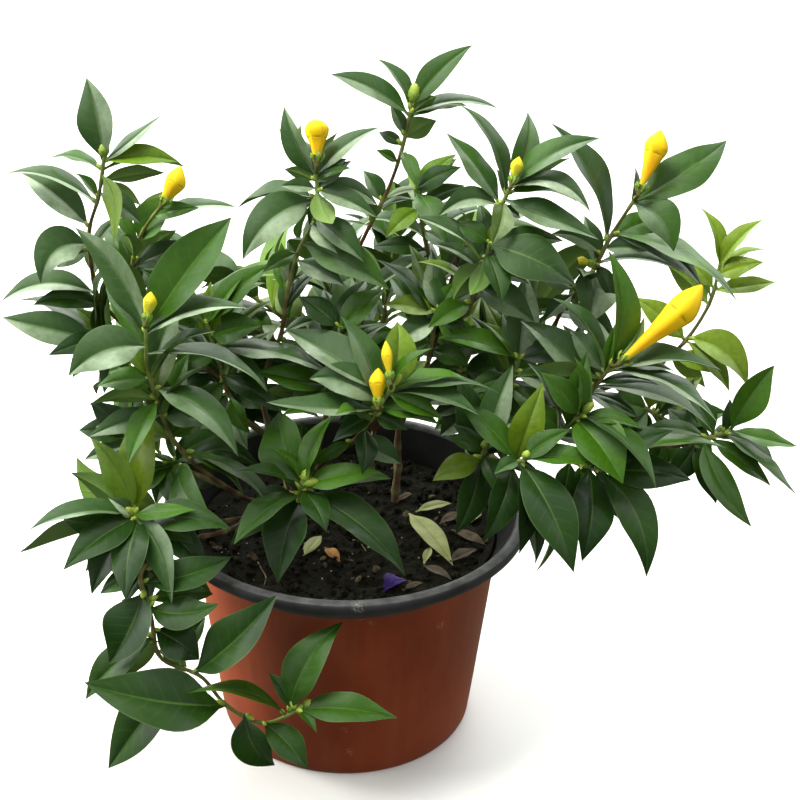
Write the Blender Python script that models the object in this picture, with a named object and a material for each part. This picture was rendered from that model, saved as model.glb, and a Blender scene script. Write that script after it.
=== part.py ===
"""A potted yellow jasmine in bud: a pot, soil, woody stems, leafy shoots, flower buds and fallen leaves.

Metres, +Z up. The origin is the middle of the pot's flat underside.
The plant is described as one reference view shows it, 800 pixels square, from the front and a little above.
A place in a table is the pixel at which it is seen and the millimetres it stands behind the pot's axis.
"""

import math
import random
from typing import NamedTuple

import bmesh
import bpy
from mathutils import Vector
from mathutils.bvhtree import BVHTree

MM = 0.001
GAP = 0.3 * MM
SEED = 11

# Pot
POT_STEPS = 40
SHARP_ANGLE = math.radians(35)
FLOOR_THICKNESS = 2 * MM
DRAIN_HOLES = 6
DRAIN_RADIUS = 3.5 * MM
DRAIN_RING = 40 * MM
DRAIN_SIDES = 8

# Soil
SOIL_TOP = 103 * MM
LITTER_LIFT = 1.4 * MM
HOLE_CLEARANCE = 0.4 * MM

# Stems and leaves
STEM_SIDES = 5
JOINT_FACTORS = (1.1, 1.15, 1.2, 1.25, 1.3, 1.35, 1.4, 1.5, 1.6, 1.7, 1.8, 2, 3)
JOINT_REACH = 3.6 * MM
KEPT_SHARE = 0.95
SAME_SPOT = 0.1 * MM
STEM_STEP = 20 * MM
CURVE_STEPS = 8
SHARE_STEPS = 200
WOOD_RADIUS = 2.4 * MM
LEAD_RADIUS = 1.9 * MM
FOOT_RADIUS = 1.5 * MM
TIP_RADIUS = 1.1 * MM
WOOD_DEPTH = 24 * MM
STAGGER = 2.0 * MM
LAST_SHARE = 0.975
STALK_HALF_WIDTH = 0.8 * MM
FLAT_ABOVE = 0.3 * MM
KEEL_BELOW = 0.8 * MM
WIDTH_TO_LENGTH = 0.33
BOW_TO_LENGTH = 0.12
MOST_FACING = 0.9
OUTWARD = 0.6
SHORTEST_LEAF = 12 * MM
LOWEST_LEAF = 1 * MM
CLEARANCE = 0.45 * MM
OUTER_FROM = 0.27
EXTRA_SPREAD = 62

# Half width of a leaf as a share of its greatest, at each station from stalk to tip
STATIONS = ((0.0, None), (0.27, 0.86), (0.52, 1.04), (0.78, 0.7), (1.0, 0.0))

# The reference view
EYE = Vector((25.2 * MM, -767 * MM, 589 * MM))
PITCH = math.radians(28.3)
ROLL = math.radians(1.03)
FOCAL_PX = 1826
MIDDLE_PX = 400
AHEAD = Vector((0, math.cos(PITCH), -math.sin(PITCH)))
LEVEL_RIGHT = Vector((1, 0, 0))
LEVEL_UP = Vector((0, math.sin(PITCH), math.cos(PITCH)))
RIGHT = LEVEL_RIGHT * math.cos(ROLL) + LEVEL_UP * math.sin(ROLL)
UPWARD = LEVEL_UP * math.cos(ROLL) - LEVEL_RIGHT * math.sin(ROLL)

TOP = 1
UNDER = -1


class Shoot(NamedTuple):
    """A leafy shoot. Its lead is the bare twig that carries it from the wood, and belongs to that wood."""

    name: str
    wood: str
    lead: tuple
    path: tuple
    leaves: tuple
    buds: tuple = ()
    extra: int = 0


class Blade(NamedTuple):
    """One leaf: its stalk's foot, its tip, its upper side's direction, its width and where it arches to."""

    root: Vector
    tip: Vector
    normal: Vector
    width: float
    arch: Vector


# Woods: the first path of each is its trunk, which starts under the soil
WOODS = {
    "wood_centre": ((395, 500, 26), (398, 470, 25), (398, 430, 22), (402, 405, 22)),
    "wood_left": ((299, 533, -5), (290, 490, -5), (272, 440, 0), (262, 400, 5)),
    "wood_right": ((460, 519, 10), (470, 480, 10), (490, 450, 8), (520, 425, 5)),
    "wood_back": ((371, 472, 55), (372, 450, 57), (374, 430, 60)),
}

# Shoots that the reference view shows.
# A leaf is the pixel it grows from, its tip's pixel, its width in pixels, its lean toward the eye in degrees
# and the side that shows, then for a leaf that curves across the view the pixel of its middle.
# A bud is its foot's pixel, its tip's pixel, its width in pixels and its colour.
# The last number of a shoot is how many more leaves it gets by rule.
SHOOTS = (
    Shoot(
        "left_crown", "wood_left",
        ((262, 400, 5), (215, 372, 12), (160, 348, 14), (105, 310, 6)),
        ((105, 310, 6), (97, 290, 5), (91, 265, 4), (88, 240, 3), (93, 215, 2), (98, 200, 1),
         (104, 158, 0)),
        ((98, 160, 86, 77, 34, 0, TOP, 97, 120), (106, 158, 163, 112, 11, 0, TOP, 136, 136),
         (104, 162, 180, 162, 20, 10, TOP, 143, 156), (103, 180, 192, 168, 16, 10, UNDER, 150, 172),
         (101, 192, 142, 224, 22, 0, TOP),
         (100, 170, 48, 158, 10, -25, TOP), (98, 200, 3, 172, 14, 0, TOP),
         (91, 228, 20, 172, 30, -10, TOP), (102, 172, 113, 245, 17, 15, TOP, 115, 210),
         (88, 245, 41, 284, 38, 16, TOP, 63, 244), (97, 292, 0, 302, 20, 0, TOP, 44, 283),
         (103, 306, 32, 305, 22, 12, TOP, 70, 298)),
        ((104, 156, 104, 140, 11, "green"),), 5,
    ),
    Shoot(
        "left_fan", "wood_left",
        ((160, 348, 14), (145, 352, 8), (128, 350, 2)),
        ((128, 350, 2), (112, 345, -2), (98, 338, -5)),
        ((98, 338, 1, 316, 32, 5, TOP, 48, 328), (100, 340, 15, 300, 16, -20, TOP),
         (106, 343, 48, 355, 22, 25, TOP)),
        (), 4,
    ),
    Shoot(
        "left_second", "wood_left",
        ((215, 372, 12), (185, 345, 28), (150, 325, 36)),
        ((150, 325, 36), (140, 300, 36), (132, 262, 33), (138, 240, 31), (152, 220, 29), (161, 206, 28)),
        ((134, 245, 175, 195, 30, 0, TOP), (155, 216, 238, 206, 12, 0, TOP, 194, 206),
         (133, 262, 177, 230, 18, 10, UNDER), (135, 268, 200, 245, 24, 10, TOP),
         (136, 243, 118, 195, 14, -10, TOP), (140, 235, 165, 190, 14, 0, UNDER)),
        ((163, 203, 184, 168, 21, "yellow"),), 5,
    ),
    Shoot(
        "left_bud", "wood_left",
        ((290, 490, -5), (262, 502, -16), (228, 488, -26), (195, 465, -32)),
        ((195, 465, -32), (180, 450, -34), (165, 425, -36), (157, 400, -38), (150, 385, -39),
         (147, 365, -40), (146, 326, -40)),
        ((143, 330, 73, 228, 30, -8, TOP, 113, 268), (148, 328, 232, 216, 48, -8, TOP, 192, 264),
         (148, 335, 248, 308, 20, 10, TOP, 198, 309), (146, 345, 67, 376, 44, 12, TOP, 108, 349),
         (155, 390, 241, 456, 30, 20, TOP, 203, 409), (155, 405, 128, 465, 22, 25, TOP),
         (155, 400, 88, 405, 16, 10, UNDER), (160, 412, 88, 437, 24, 15, TOP),
         (150, 352, 271, 388, 15, 5, TOP, 215, 358), (152, 390, 108, 372, 20, 0, TOP),
         (188, 458, 277, 518, 14, 5, TOP, 240, 472), (162, 414, 214, 424, 22, 10, TOP)),
        ((146, 320, 152, 292, 14, "yellow"),), 5,
    ),
    Shoot(
        "left_inner", "wood_left",
        ((272, 440, 0), (245, 420, -3), (230, 400, -4)),
        ((230, 400, -4), (222, 372, -6), (213, 345, -8), (206, 322, -9)),
        ((208, 324, 275, 262, 26, 0, TOP), (206, 322, 258, 264, 16, -20, TOP),
         (212, 340, 262, 325, 30, 20, TOP), (215, 348, 340, 377, 20, 10, TOP, 285, 354),
         (216, 353, 268, 392, 16, 25, TOP), (218, 360, 170, 368, 22, 10, TOP),
         (224, 378, 280, 412, 24, 20, TOP), (226, 385, 190, 425, 22, 25, TOP),
         (207, 324, 178, 275, 20, -15, TOP)),
        (), 3,
    ),
    Shoot(
        "centre_left_bud", "wood_left",
        ((262, 400, 5), (266, 372, 2), (277, 345, 0)),
        ((277, 345, 0), (285, 320, 1), (287, 300, 2), (290, 275, 3), (297, 255, 4), (305, 240, 5),
         (312, 225, 5), (318, 205, 5), (316, 172, 5)),
        ((315, 174, 284, 106, 22, 0, TOP), (315, 180, 276, 127, 18, -15, TOP),
         (317, 176, 381, 127, 18, 0, TOP), (316, 178, 338, 132, 14, -25, UNDER),
         (317, 180, 347, 158, 18, 15, TOP), (316, 184, 284, 169, 14, 15, UNDER),
         (317, 190, 280, 186, 14, 5, TOP), (317, 192, 333, 225, 22, 35, UNDER),
         (317, 188, 378, 218, 20, 10, TOP), (316, 203, 242, 260, 40, 5, TOP, 272, 218),
         (316, 200, 237, 208, 12, -15, TOP), (298, 252, 262, 272, 16, 20, TOP),
         (291, 278, 281, 242, 12, 0, UNDER), (312, 225, 338, 254, 24, 25, TOP),
         (314, 218, 364, 262, 26, 10, TOP), (297, 258, 345, 286, 22, 20, TOP),
         (305, 242, 390, 290, 35, 10, TOP),
         (316, 192, 378, 206, 20, 0, TOP, 350, 188), (317, 188, 352, 160, 14, 0, TOP)),
        ((317, 160, 317, 120, 24, "yellow"),), 3,
    ),
    Shoot(
        "top", "wood_centre",
        ((402, 405, 22), (378, 360, 30), (358, 310, 32), (352, 275, 32), (355, 255, 31)),
        ((355, 255, 31), (362, 243, 31), (370, 225, 31), (380, 207, 32), (392, 180, 33), (400, 158, 34),
         (404, 140, 35), (408, 120, 35), (412, 104, 35)),
        ((412, 106, 473, 44, 25, 0, TOP), (411, 108, 377, 58, 12, -10, TOP),
         (408, 118, 330, 74, 22, 0, TOP), (409, 118, 500, 107, 12, 0, TOP),
         (410, 112, 437, 96, 14, 25, UNDER), (405, 140, 437, 120, 22, 10, UNDER),
         (402, 150, 378, 132, 12, -10, TOP), (400, 160, 376, 150, 10, 10, TOP),
         (401, 156, 418, 190, 15, 25, TOP), (383, 200, 363, 170, 18, 0, TOP),
         (407, 114, 468, 106, 13, 0, TOP, 436, 105)),
        ((412, 102, 418, 80, 12, "green"),), 4,
    ),
    Shoot(
        "top_middle", "wood_centre",
        ((398, 430, 22), (412, 380, 32), (428, 320, 34), (436, 280, 32), (430, 262, 30)),
        ((430, 262, 30), (425, 235, 28), (418, 210, 26), (415, 188, 25)),
        ((415, 190, 457, 153, 20, 0, TOP), (416, 195, 446, 245, 26, 30, TOP),
         (416, 190, 404, 150, 14, -15, UNDER), (418, 205, 385, 238, 20, 15, TOP),
         (418, 202, 466, 185, 16, 0, TOP), (425, 232, 470, 262, 22, 20, TOP),
         (427, 258, 360, 297, 14, 5, TOP, 397, 272), (429, 250, 372, 247, 18, -10, TOP),
         (421, 200, 457, 158, 20, 0, TOP)),
        (), 3,
    ),
    Shoot(
        "right_centre_bud", "wood_centre",
        ((398, 430, 22), (420, 385, 18), (440, 325, 16), (450, 285, 15), (455, 262, 15)),
        ((455, 262, 15), (460, 250, 14), (475, 242, 12), (482, 235, 10), (490, 225, 9), (498, 210, 8),
         (505, 195, 6), (511, 186, 5)),
        ((506, 194, 460, 102, 15, 0, TOP, 491, 139), (500, 207, 446, 132, 22, -5, TOP, 475, 165),
         (509, 188, 528, 111, 27, -15, TOP, 526, 150), (510, 187, 601, 137, 22, 0, TOP),
         (508, 191, 592, 212, 18, 10, TOP, 550, 180), (500, 208, 438, 217, 20, 10, TOP, 466, 199),
         (503, 200, 492, 245, 24, 35, TOP), (503, 202, 600, 238, 25, 10, TOP, 556, 220)),
        ((512, 182, 520, 157, 13, "yellow"),), 3,
    ),
    Shoot(
        "right_middle", "wood_centre",
        ((440, 325, 16), (458, 322, 8), (470, 310, 3)),
        ((470, 310, 3), (478, 285, 0), (486, 260, -3), (490, 242, -5)),
        ((490, 244, 578, 285, 45, 15, TOP), (490, 243, 565, 240, 24, -5, TOP),
         (487, 256, 470, 296, 20, 30, UNDER), (485, 262, 452, 300, 22, 20, UNDER),
         (488, 252, 502, 304, 25, 30, TOP), (478, 288, 535, 322, 30, 15, TOP),
         (474, 300, 428, 328, 22, 15, TOP), (490, 243, 455, 222, 20, -10, TOP)),
        (), 4,
    ),
    Shoot(
        "upper_right_bud", "wood_right",
        ((520, 425, 5), (535, 385, 12), (548, 340, 12), (560, 312, 10)),
        ((560, 312, 10), (570, 300, 10), (590, 275, 10), (595, 268, 10), (603, 255, 10), (608, 240, 9),
         (618, 228, 8), (628, 212, 7), (635, 199, 6)),
        ((634, 201, 727, 140, 40, -12, TOP, 686, 171), (632, 205, 634, 165, 8, -20, TOP),
         (633, 202, 674, 252, 34, 15, TOP, 657, 214), (612, 237, 740, 301, 18, 10, TOP, 674, 249),
         (608, 240, 551, 122, 22, 0, TOP, 592, 178), (612, 236, 665, 218, 24, -10, TOP),
         (606, 248, 655, 250, 18, 15, TOP), (600, 262, 686, 274, 12, 10, TOP),
         (597, 265, 584, 215, 18, -10, TOP), (593, 270, 588, 325, 40, 25, TOP),
         (576, 294, 520, 262, 24, 5, TOP), (568, 303, 618, 342, 28, 20, TOP),
         (612, 238, 704, 288, 22, 0, TOP, 664, 250)),
        ((640, 190, 663, 132, 24, "yellow"), (594, 265, 577, 259, 9, "yellow_small")), 3,
    ),
    Shoot(
        "big_bud", "wood_right",
        ((520, 425, 5), (548, 416, -10), (580, 400, -25)),
        ((580, 400, -25), (590, 392, -27), (600, 378, -30), (611, 366, -33)),
        ((609, 368, 608, 250, 24, 0, TOP, 622, 312), (609, 369, 722, 370, 20, 10, TOP),
         (606, 372, 718, 422, 16, 15, TOP, 668, 382), (598, 382, 660, 384, 12, 20, TOP),
         (594, 388, 715, 430, 18, -5, TOP), (592, 390, 520, 319, 30, -5, TOP),
         (598, 380, 513, 375, 20, 10, UNDER), (604, 374, 570, 330, 26, -15, TOP)),
        ((622, 361, 706, 290, 30, "yellow"),), 3,
    ),
    Shoot(
        "far_right_fresh", "wood_right",
        ((520, 425, 5), (560, 405, 25), (615, 385, 38), (668, 362, 44)),
        ((668, 362, 44), (680, 350, 46), (690, 335, 48), (700, 322, 50), (710, 302, 50), (716, 285, 50),
         (720, 264, 50)),
        ((719, 268, 700, 206, 14, 0, TOP, 716, 232), (720, 267, 764, 219, 16, 0, TOP),
         (719, 270, 768, 248, 10, -5, TOP), (718, 277, 764, 262, 20, 15, TOP),
         (715, 288, 777, 281, 17, 0, TOP, 745, 286), (714, 290, 684, 258, 16, 0, TOP),
         (708, 305, 668, 266, 24, 10, UNDER), (690, 335, 748, 386, 30, 15, TOP, 726, 352),
         (672, 358, 722, 374, 18, 0, TOP),
         (688, 338, 634, 297, 26, 0, TOP)),
        (), 0,
    ),
    Shoot(
        "far_right_low", "wood_right",
        ((520, 425, 5), (575, 432, 8), (635, 445, 2), (690, 445, -3)),
        ((690, 445, -3), (705, 441, -4), (720, 436, -5), (731, 430, -6)),
        ((729, 431, 775, 365, 31, 0, TOP, 749, 398), (730, 431, 798, 446, 16, 0, TOP, 766, 439),
         (722, 436, 798, 495, 12, 15, TOP, 765, 466), (700, 442, 753, 527, 26, 20, TOP, 720, 483),
         (704, 441, 640, 430, 14, 0, TOP), (716, 437, 688, 392, 20, -10, TOP),
         (720, 436, 780, 478, 14, -15, TOP, 760, 452), (708, 440, 772, 486, 20, 10, TOP),
         (694, 445, 716, 504, 26, 0, TOP), (726, 433, 730, 398, 12, 0, TOP),
         (700, 443, 664, 484, 26, 10, TOP), (692, 445, 668, 408, 24, -10, TOP)),
        (), 0,
    ),
    Shoot(
        "right_inner_low", "wood_right",
        ((490, 450, 8), (512, 451, -10), (530, 446, -21), (545, 440, -30)),
        ((545, 440, -30), (558, 434, -35), (570, 428, -40), (577, 420, -44), (582, 414, -47)),
        ((578, 420, 623, 484, 45, 25, TOP), (580, 417, 658, 488, 18, 20, TOP),
         (580, 416, 540, 372, 25, 10, TOP), (568, 429, 600, 420, 14, 30, TOP),
         (560, 433, 530, 405, 20, 0, TOP)),
        ((583, 412, 594, 402, 9, "green"),), 3,
    ),
    Shoot(
        "right_inner", "wood_right",
        ((490, 450, 8), (500, 420, 0), (505, 400, -4)),
        ((505, 400, -4), (512, 382, -7), (520, 358, -10)),
        ((519, 361, 437, 337, 20, 0, TOP), (519, 360, 575, 345, 24, 0, TOP),
         (515, 372, 565, 398, 20, 20, TOP), (514, 376, 462, 395, 18, 15, TOP),
         (518, 362, 502, 312, 22, -10, TOP), (509, 390, 465, 425, 20, 20, TOP),
         (510, 388, 552, 425, 22, 15, TOP)),
        (), 4,
    ),
    Shoot(
        "front_right", "wood_right",
        ((490, 450, 8), (492, 455, -8), (496, 460, -28)),
        ((496, 460, -28), (505, 463, -42), (514, 463, -52), (524, 460, -62)),
        ((523, 461, 603, 465, 20, 5, TOP, 562, 457), (519, 462, 494, 474, 14, 30, TOP),
         (520, 462, 520, 556, 22, 0, TOP),
         (512, 464, 483, 543, 32, 20, TOP), (518, 463, 574, 573, 45, 15, TOP),
         (520, 462, 536, 573, 12, -10, TOP), (516, 463, 458, 402, 25, -5, TOP)),
        ((525, 459, 528, 450, 9, "green"),), 2,
    ),
    Shoot(
        "right_hanging", "wood_right",
        ((530, 446, -21), (545, 452, -33), (560, 457, -41)),
        ((560, 457, -41), (575, 462, -45), (590, 468, -48), (602, 472, -50)),
        ((588, 468, 582, 562, 40, 20, TOP, 592, 512), (600, 472, 647, 578, 36, 15, TOP, 637, 516),
         (597, 471, 632, 530, 26, -15, TOP), (601, 472, 692, 480, 34, 0, TOP),
         (595, 470, 728, 447, 14, -8, TOP), (572, 461, 552, 520, 26, 10, TOP)),
        (), 2,
    ),
    Shoot(
        "front_middle", "wood_right",
        ((470, 480, 10), (474, 480, -4), (478, 473, -18)),
        ((478, 473, -18), (481, 462, -32), (484, 450, -43)),
        ((482, 458, 432, 481, 25, 15, TOP), (482, 460, 455, 535, 30, 20, TOP),
         (484, 452, 512, 422, 14, 0, TOP), (483, 455, 506, 505, 24, 25, TOP),
         (484, 452, 452, 424, 14, -5, TOP)),
        ((484, 448, 485, 440, 8, "green"),), 2,
    ),
    Shoot(
        "centre_buds", "wood_left",
        ((290, 490, -5), (312, 472, -20), (332, 455, -30), (350, 445, -35)),
        ((350, 445, -35), (358, 440, -37), (365, 425, -39), (380, 410, -42), (391, 388, -45)),
        ((390, 390, 398, 320, 35, -15, TOP), (390, 390, 432, 348, 10, -10, TOP),
         (390, 391, 470, 378, 14, 0, TOP), (388, 395, 500, 392, 14, 5, TOP),
         (386, 398, 480, 415, 16, 10, TOP), (380, 411, 266, 402, 20, 5, TOP, 325, 408),
         (374, 416, 332, 442, 18, 15, TOP), (380, 410, 440, 424, 18, 15, TOP),
         (384, 402, 308, 378, 34, -5, TOP, 345, 380), (387, 394, 283, 327, 36, -24, TOP, 343, 342),
         (364, 428, 362, 475, 22, 25, TOP),
         (352, 443, 402, 464, 24, -10, TOP)),
        ((390, 378, 385, 341, 11, "yellow"), (378, 404, 377, 368, 17, "yellow"),
         (392, 386, 402, 374, 7, "green")), 2,
    ),
    Shoot(
        "centre_high", "wood_centre",
        ((420, 385, 18), (425, 375, 12), (428, 362, 8)),
        ((428, 362, 8), (431, 345, 6), (435, 325, 4), (439, 309, 3)),
        ((438, 312, 383, 305, 19, 10, TOP, 410, 305), (438, 311, 466, 328, 16, 25, TOP),
         (436, 322, 392, 348, 24, 20, TOP), (436, 320, 482, 352, 24, 20, TOP),
         (438, 311, 424, 272, 20, -10, TOP), (438, 312, 486, 290, 22, 0, TOP),
         (431, 343, 385, 368, 26, 15, TOP), (430, 350, 470, 366, 20, 15, TOP)),
        (), 3,
    ),
    Shoot(
        "centre_left", "wood_left",
        ((312, 472, -20), (320, 440, -18), (328, 405, -15)),
        ((328, 405, -15), (334, 375, -14), (338, 348, -13), (340, 326, -12)),
        ((339, 330, 298, 296, 24, 0, TOP), (340, 330, 386, 288, 26, 0, TOP),
         (337, 352, 382, 396, 24, 20, TOP),
         (332, 384, 286, 410, 24, 15, TOP), (333, 380, 366, 430, 24, 20, TOP)),
        (), 4,
    ),
    Shoot(
        "left_deep", "wood_left",
        ((272, 440, 0), (255, 425, 18), (238, 408, 28)),
        ((238, 408, 28), (225, 388, 32), (212, 368, 34), (205, 352, 34)),
        ((206, 355, 250, 330, 26, 0, TOP), (206, 355, 165, 330, 26, 0, TOP),
         (212, 368, 262, 372, 28, 10, TOP), (214, 370, 172, 392, 28, 10, TOP),
         (228, 392, 290, 432, 30, 10, TOP), (228, 392, 196, 436, 28, 15, TOP),
         (206, 354, 214, 300, 22, -10, TOP), (238, 408, 300, 398, 20, 0, TOP),
         (224, 386, 314, 368, 30, 0, TOP, 270, 362), (237, 407, 248, 450, 24, 10, TOP),
         (232, 398, 322, 418, 22, -5, TOP)),
        (), 0,
    ),
    Shoot(
        "left_low_deep", "wood_left",
        ((228, 488, -26), (205, 478, -18), (185, 470, -14)),
        ((185, 470, -14), (165, 460, -11), (145, 448, -9), (125, 436, -8)),
        ((127, 437, 90, 402, 26, 0, TOP), (127, 437, 78, 430, 24, 10, TOP),
         (146, 449, 178, 402, 28, 0, TOP), (146, 449, 112, 486, 28, 15, TOP),
         (174, 465, 226, 430, 26, -5, TOP), (166, 461, 190, 512, 30, 20, TOP),
         (183, 469, 222, 540, 34, 25, TOP), (172, 464, 246, 500, 30, 10, TOP),
         (126, 436, 140, 385, 24, -10, TOP), (184, 469, 262, 470, 24, 0, TOP, 224, 458),
         (172, 464, 132, 496, 26, 5, TOP)),
        (), 0,
    ),
    Shoot(
        "right_deep", "wood_right",
        ((615, 385, 38), (628, 392, 34), (640, 404, 30)),
        ((640, 404, 30), (652, 413, 29), (664, 421, 28), (678, 427, 27)),
        ((677, 427, 728, 412, 22, 0, TOP), (664, 421, 702, 376, 28, 0, TOP),
         (646, 408, 604, 402, 26, 0, TOP), (664, 421, 650, 474, 30, 15, TOP),
         (654, 414, 690, 394, 22, 0, TOP),
         (677, 427, 712, 462, 26, 15, TOP), (646, 408, 655, 358, 26, -10, TOP),
         (648, 410, 606, 448, 30, 10, TOP)),
        (), 0,
    ),
    Shoot(
        "centre_deep", "wood_centre",
        ((398, 430, 22), (388, 412, 32), (380, 398, 38)),
        ((380, 398, 38), (368, 378, 41), (355, 358, 43), (345, 342, 44)),
        ((346, 345, 300, 318, 28, 0, TOP), (346, 345, 395, 330, 26, 0, TOP),
         (354, 357, 312, 352, 28, 5, TOP), (354, 357, 412, 362, 28, 5, TOP),
         (364, 372, 320, 390, 30, 10, TOP), (364, 372, 410, 395, 28, 10, TOP),
         (376, 391, 330, 418, 28, 10, TOP), (376, 391, 430, 412, 28, 5, TOP),
         (346, 345, 344, 298, 26, -5, TOP)),
        (), 0,
    ),
    Shoot(
        "right_centre_deep", "wood_right",
        ((490, 450, 8), (486, 430, 22), (480, 412, 30)),
        ((480, 412, 30), (472, 392, 34), (462, 372, 36), (452, 352, 37)),
        ((453, 355, 405, 340, 26, 0, TOP), (453, 355, 500, 332, 28, 0, TOP),
         (461, 370, 420, 378, 28, 5, TOP), (461, 370, 515, 368, 28, 5, TOP),
         (470, 388, 425, 405, 28, 10, TOP), (470, 388, 522, 398, 28, 10, TOP),
         (478, 407, 440, 436, 28, 10, TOP), (478, 407, 535, 428, 28, 5, TOP),
         (453, 354, 450, 312, 26, -5, TOP)),
        (), 0,
    ),
    Shoot(
        "front_left", "wood_left",
        ((290, 490, -5), (296, 502, -20), (300, 500, -34)),
        ((300, 500, -34), (302, 493, -42), (304, 484, -50)),
        ((304, 486, 334, 414, 18, 0, TOP), (304, 487, 326, 447, 12, 12, TOP),
         (303, 488, 381, 472, 24, 10, TOP), (304, 486, 265, 445, 10, 5, TOP),
         (301, 495, 278, 583, 40, 20, TOP), (302, 492, 408, 575, 35, 12, TOP),
         (302, 490, 327, 532, 25, 35, TOP), (301, 496, 230, 545, 26, 8, TOP),
         (303, 489, 235, 470, 12, 5, TOP), (304, 486, 278, 412, 45, -15, TOP),
         (301, 494, 216, 558, 22, -5, TOP), (299, 500, 248, 512, 30, -15, TOP)),
        ((304, 482, 309, 466, 10, "green"), (304, 484, 320, 480, 9, "green")), 0,
    ),
    Shoot(
        "low_left_rosette", "wood_left",
        ((290, 490, -5), (262, 512, -18), (218, 522, -36), (170, 522, -52)),
        ((170, 522, -52), (155, 520, -55), (143, 518, -58), (131, 515, -60)),
        ((131, 515, 150, 403, 38, 0, TOP), (131, 515, 90, 438, 28, 0, TOP, 114, 466),
         (132, 515, 77, 456, 35, -12, UNDER, 88, 484), (131, 515, 108, 498, 14, 30, TOP),
         (132, 516, 61, 516, 34, 10, TOP, 92, 523), (134, 516, 196, 509, 16, 20, TOP, 167, 511),
         (136, 517, 170, 605, 28, 20, TOP, 161, 555), (145, 518, 195, 545, 24, 10, TOP),
         (147, 518, 232, 528, 32, 5, TOP),
         (152, 520, 208, 574, 32, 15, TOP),
         (134, 516, 28, 530, 18, -10, TOP), (136, 517, 18, 553, 14, -18, UNDER, 66, 536),
         (138, 517, 62, 570, 34, 5, TOP), (140, 517, 90, 595, 34, 12, TOP),
         (142, 518, 125, 600, 34, 20, TOP),
         (150, 519, 150, 606, 30, 5, TOP), (160, 521, 176, 600, 26, 0, TOP)),
        ((131, 514, 135, 504, 9, "green"),), 0,
    ),
    Shoot(
        "trailing", "wood_left",
        ((262, 512, -18), (225, 532, -36), (190, 540, -52), (160, 555, -70)),
        ((160, 555, -70), (147, 565, -76), (140, 576, -80), (150, 594, -84), (151, 615, -88),
         (152, 640, -92), (163, 660, -95), (190, 672, -98), (217, 684, -100), (224, 700, -101),
         (234, 714, -102), (262, 723, -102), (290, 715, -102), (303, 707, -102)),
        ((151, 590, 108, 664, 46, 4, TOP, 132, 624), (151, 606, 219, 603, 32, 10, TOP, 188, 613),
         (151, 625, 200, 660, 38, -5, TOP), (152, 642, 84, 700, 30, -15, TOP),
         (226, 704, 84, 682, 58, 12, TOP, 152, 700), (185, 670, 107, 769, 45, -14, TOP, 140, 724),
         (194, 674, 277, 594, 42, 10, TOP, 234, 641), (284, 717, 187, 693, 16, 12, TOP, 238, 690),
         (289, 715, 343, 620, 38, 0, TOP, 307, 662), (298, 710, 322, 665, 10, -5, TOP),
         (301, 708, 398, 718, 30, 5, TOP, 350, 709), (301, 708, 317, 733, 10, 35, TOP),
         (266, 722, 308, 770, 30, 10, TOP), (240, 717, 275, 766, 36, -5, TOP, 253, 745),
         (143, 582, 232, 556, 32, -8, TOP, 194, 573), (147, 566, 212, 592, 28, 0, TOP),
         (160, 655, 187, 667, 16, 10, UNDER), (150, 600, 240, 590, 26, -20, TOP),
         (296, 712, 268, 672, 16, -10, TOP)),
        ((304, 706, 312, 700, 9, "green"),), 0,
    ),
)

# Shoots behind, which the view hides: name, bearing in degrees, reach and height of the tip in mm, leaves
BACK_SHOOTS = (
    ("back_right_low", 12, 116, 172, 8),
    ("back_right", 36, 118, 190, 8),
    ("back_right_high", 50, 84, 232, 8),
    ("back_middle_low", 88, 120, 160, 8),
    ("back_middle", 76, 88, 222, 8),
    ("back_top_left", 118, 56, 236, 8),
    ("back_left_high", 142, 90, 212, 8),
    ("back_left", 116, 118, 190, 8),
    ("back_left_low", 158, 122, 166, 8),
    ("back_far_left", 167, 100, 212, 8),
)

BACK_ARCH = 0.14
FRESH_SHOOT = "far_right_fresh"
BACK_SHARES = (0, 0.2, 0.4, 0.6, 0.8, 1)

# The crown's outline as pixels, without the leaf tips that stand out. Leaves placed by rule stay inside it.
CROWN = (
    (58, 342), (40, 302), (85, 268), (100, 222), (125, 212), (150, 238), (195, 252), (222, 264),
    (252, 262), (280, 236), (298, 190), (345, 186), (372, 222), (392, 168), (411, 142), (424, 188),
    (452, 200), (492, 188), (520, 206), (562, 236), (602, 236), (625, 214), (662, 240), (655, 268),
    (622, 300), (650, 345), (690, 345), (728, 392), (742, 440), (700, 458), (690, 482), (640, 488),
    (600, 500), (560, 500), (500, 515), (470, 545), (420, 565), (300, 560), (232, 545), (200, 610),
    (120, 610), (70, 562), (74, 500), (90, 430), (95, 400), (70, 372),
)

# Fallen leaves on the soil: name, pixel of each end, width in mm
LITTER = (
    ("fallen_leaf", 408, 513, 453, 565, 12),
    ("amber_leaf", 325, 548, 340, 562, 6),
    ("violet_petal", 383, 592, 401, 578, 6),
    ("dry_leaf", 452, 530, 486, 545, 7),
    ("dry_curl", 424, 566, 452, 580, 6),
)

# Colours as linear red, green and blue, with roughness
MATERIALS = {
    "pot_red": ((0.30, 0.065, 0.035), 0.45),
    "soil_dark": ((0.018, 0.012, 0.009), 0.95),
    "bark": ((0.16, 0.10, 0.06), 0.8),
    "leaf_green": ((0.035, 0.12, 0.03), 0.4),
    "leaf_fresh": ((0.14, 0.30, 0.03), 0.45),
    "petal_yellow": ((0.85, 0.58, 0.015), 0.5),
    "leaf_fallen": ((0.50, 0.52, 0.18), 0.7),
    "leaf_amber": ((0.55, 0.25, 0.05), 0.7),
    "petal_violet": ((0.12, 0.03, 0.30), 0.6),
    "leaf_dry": ((0.12, 0.06, 0.03), 0.8),
}

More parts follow.
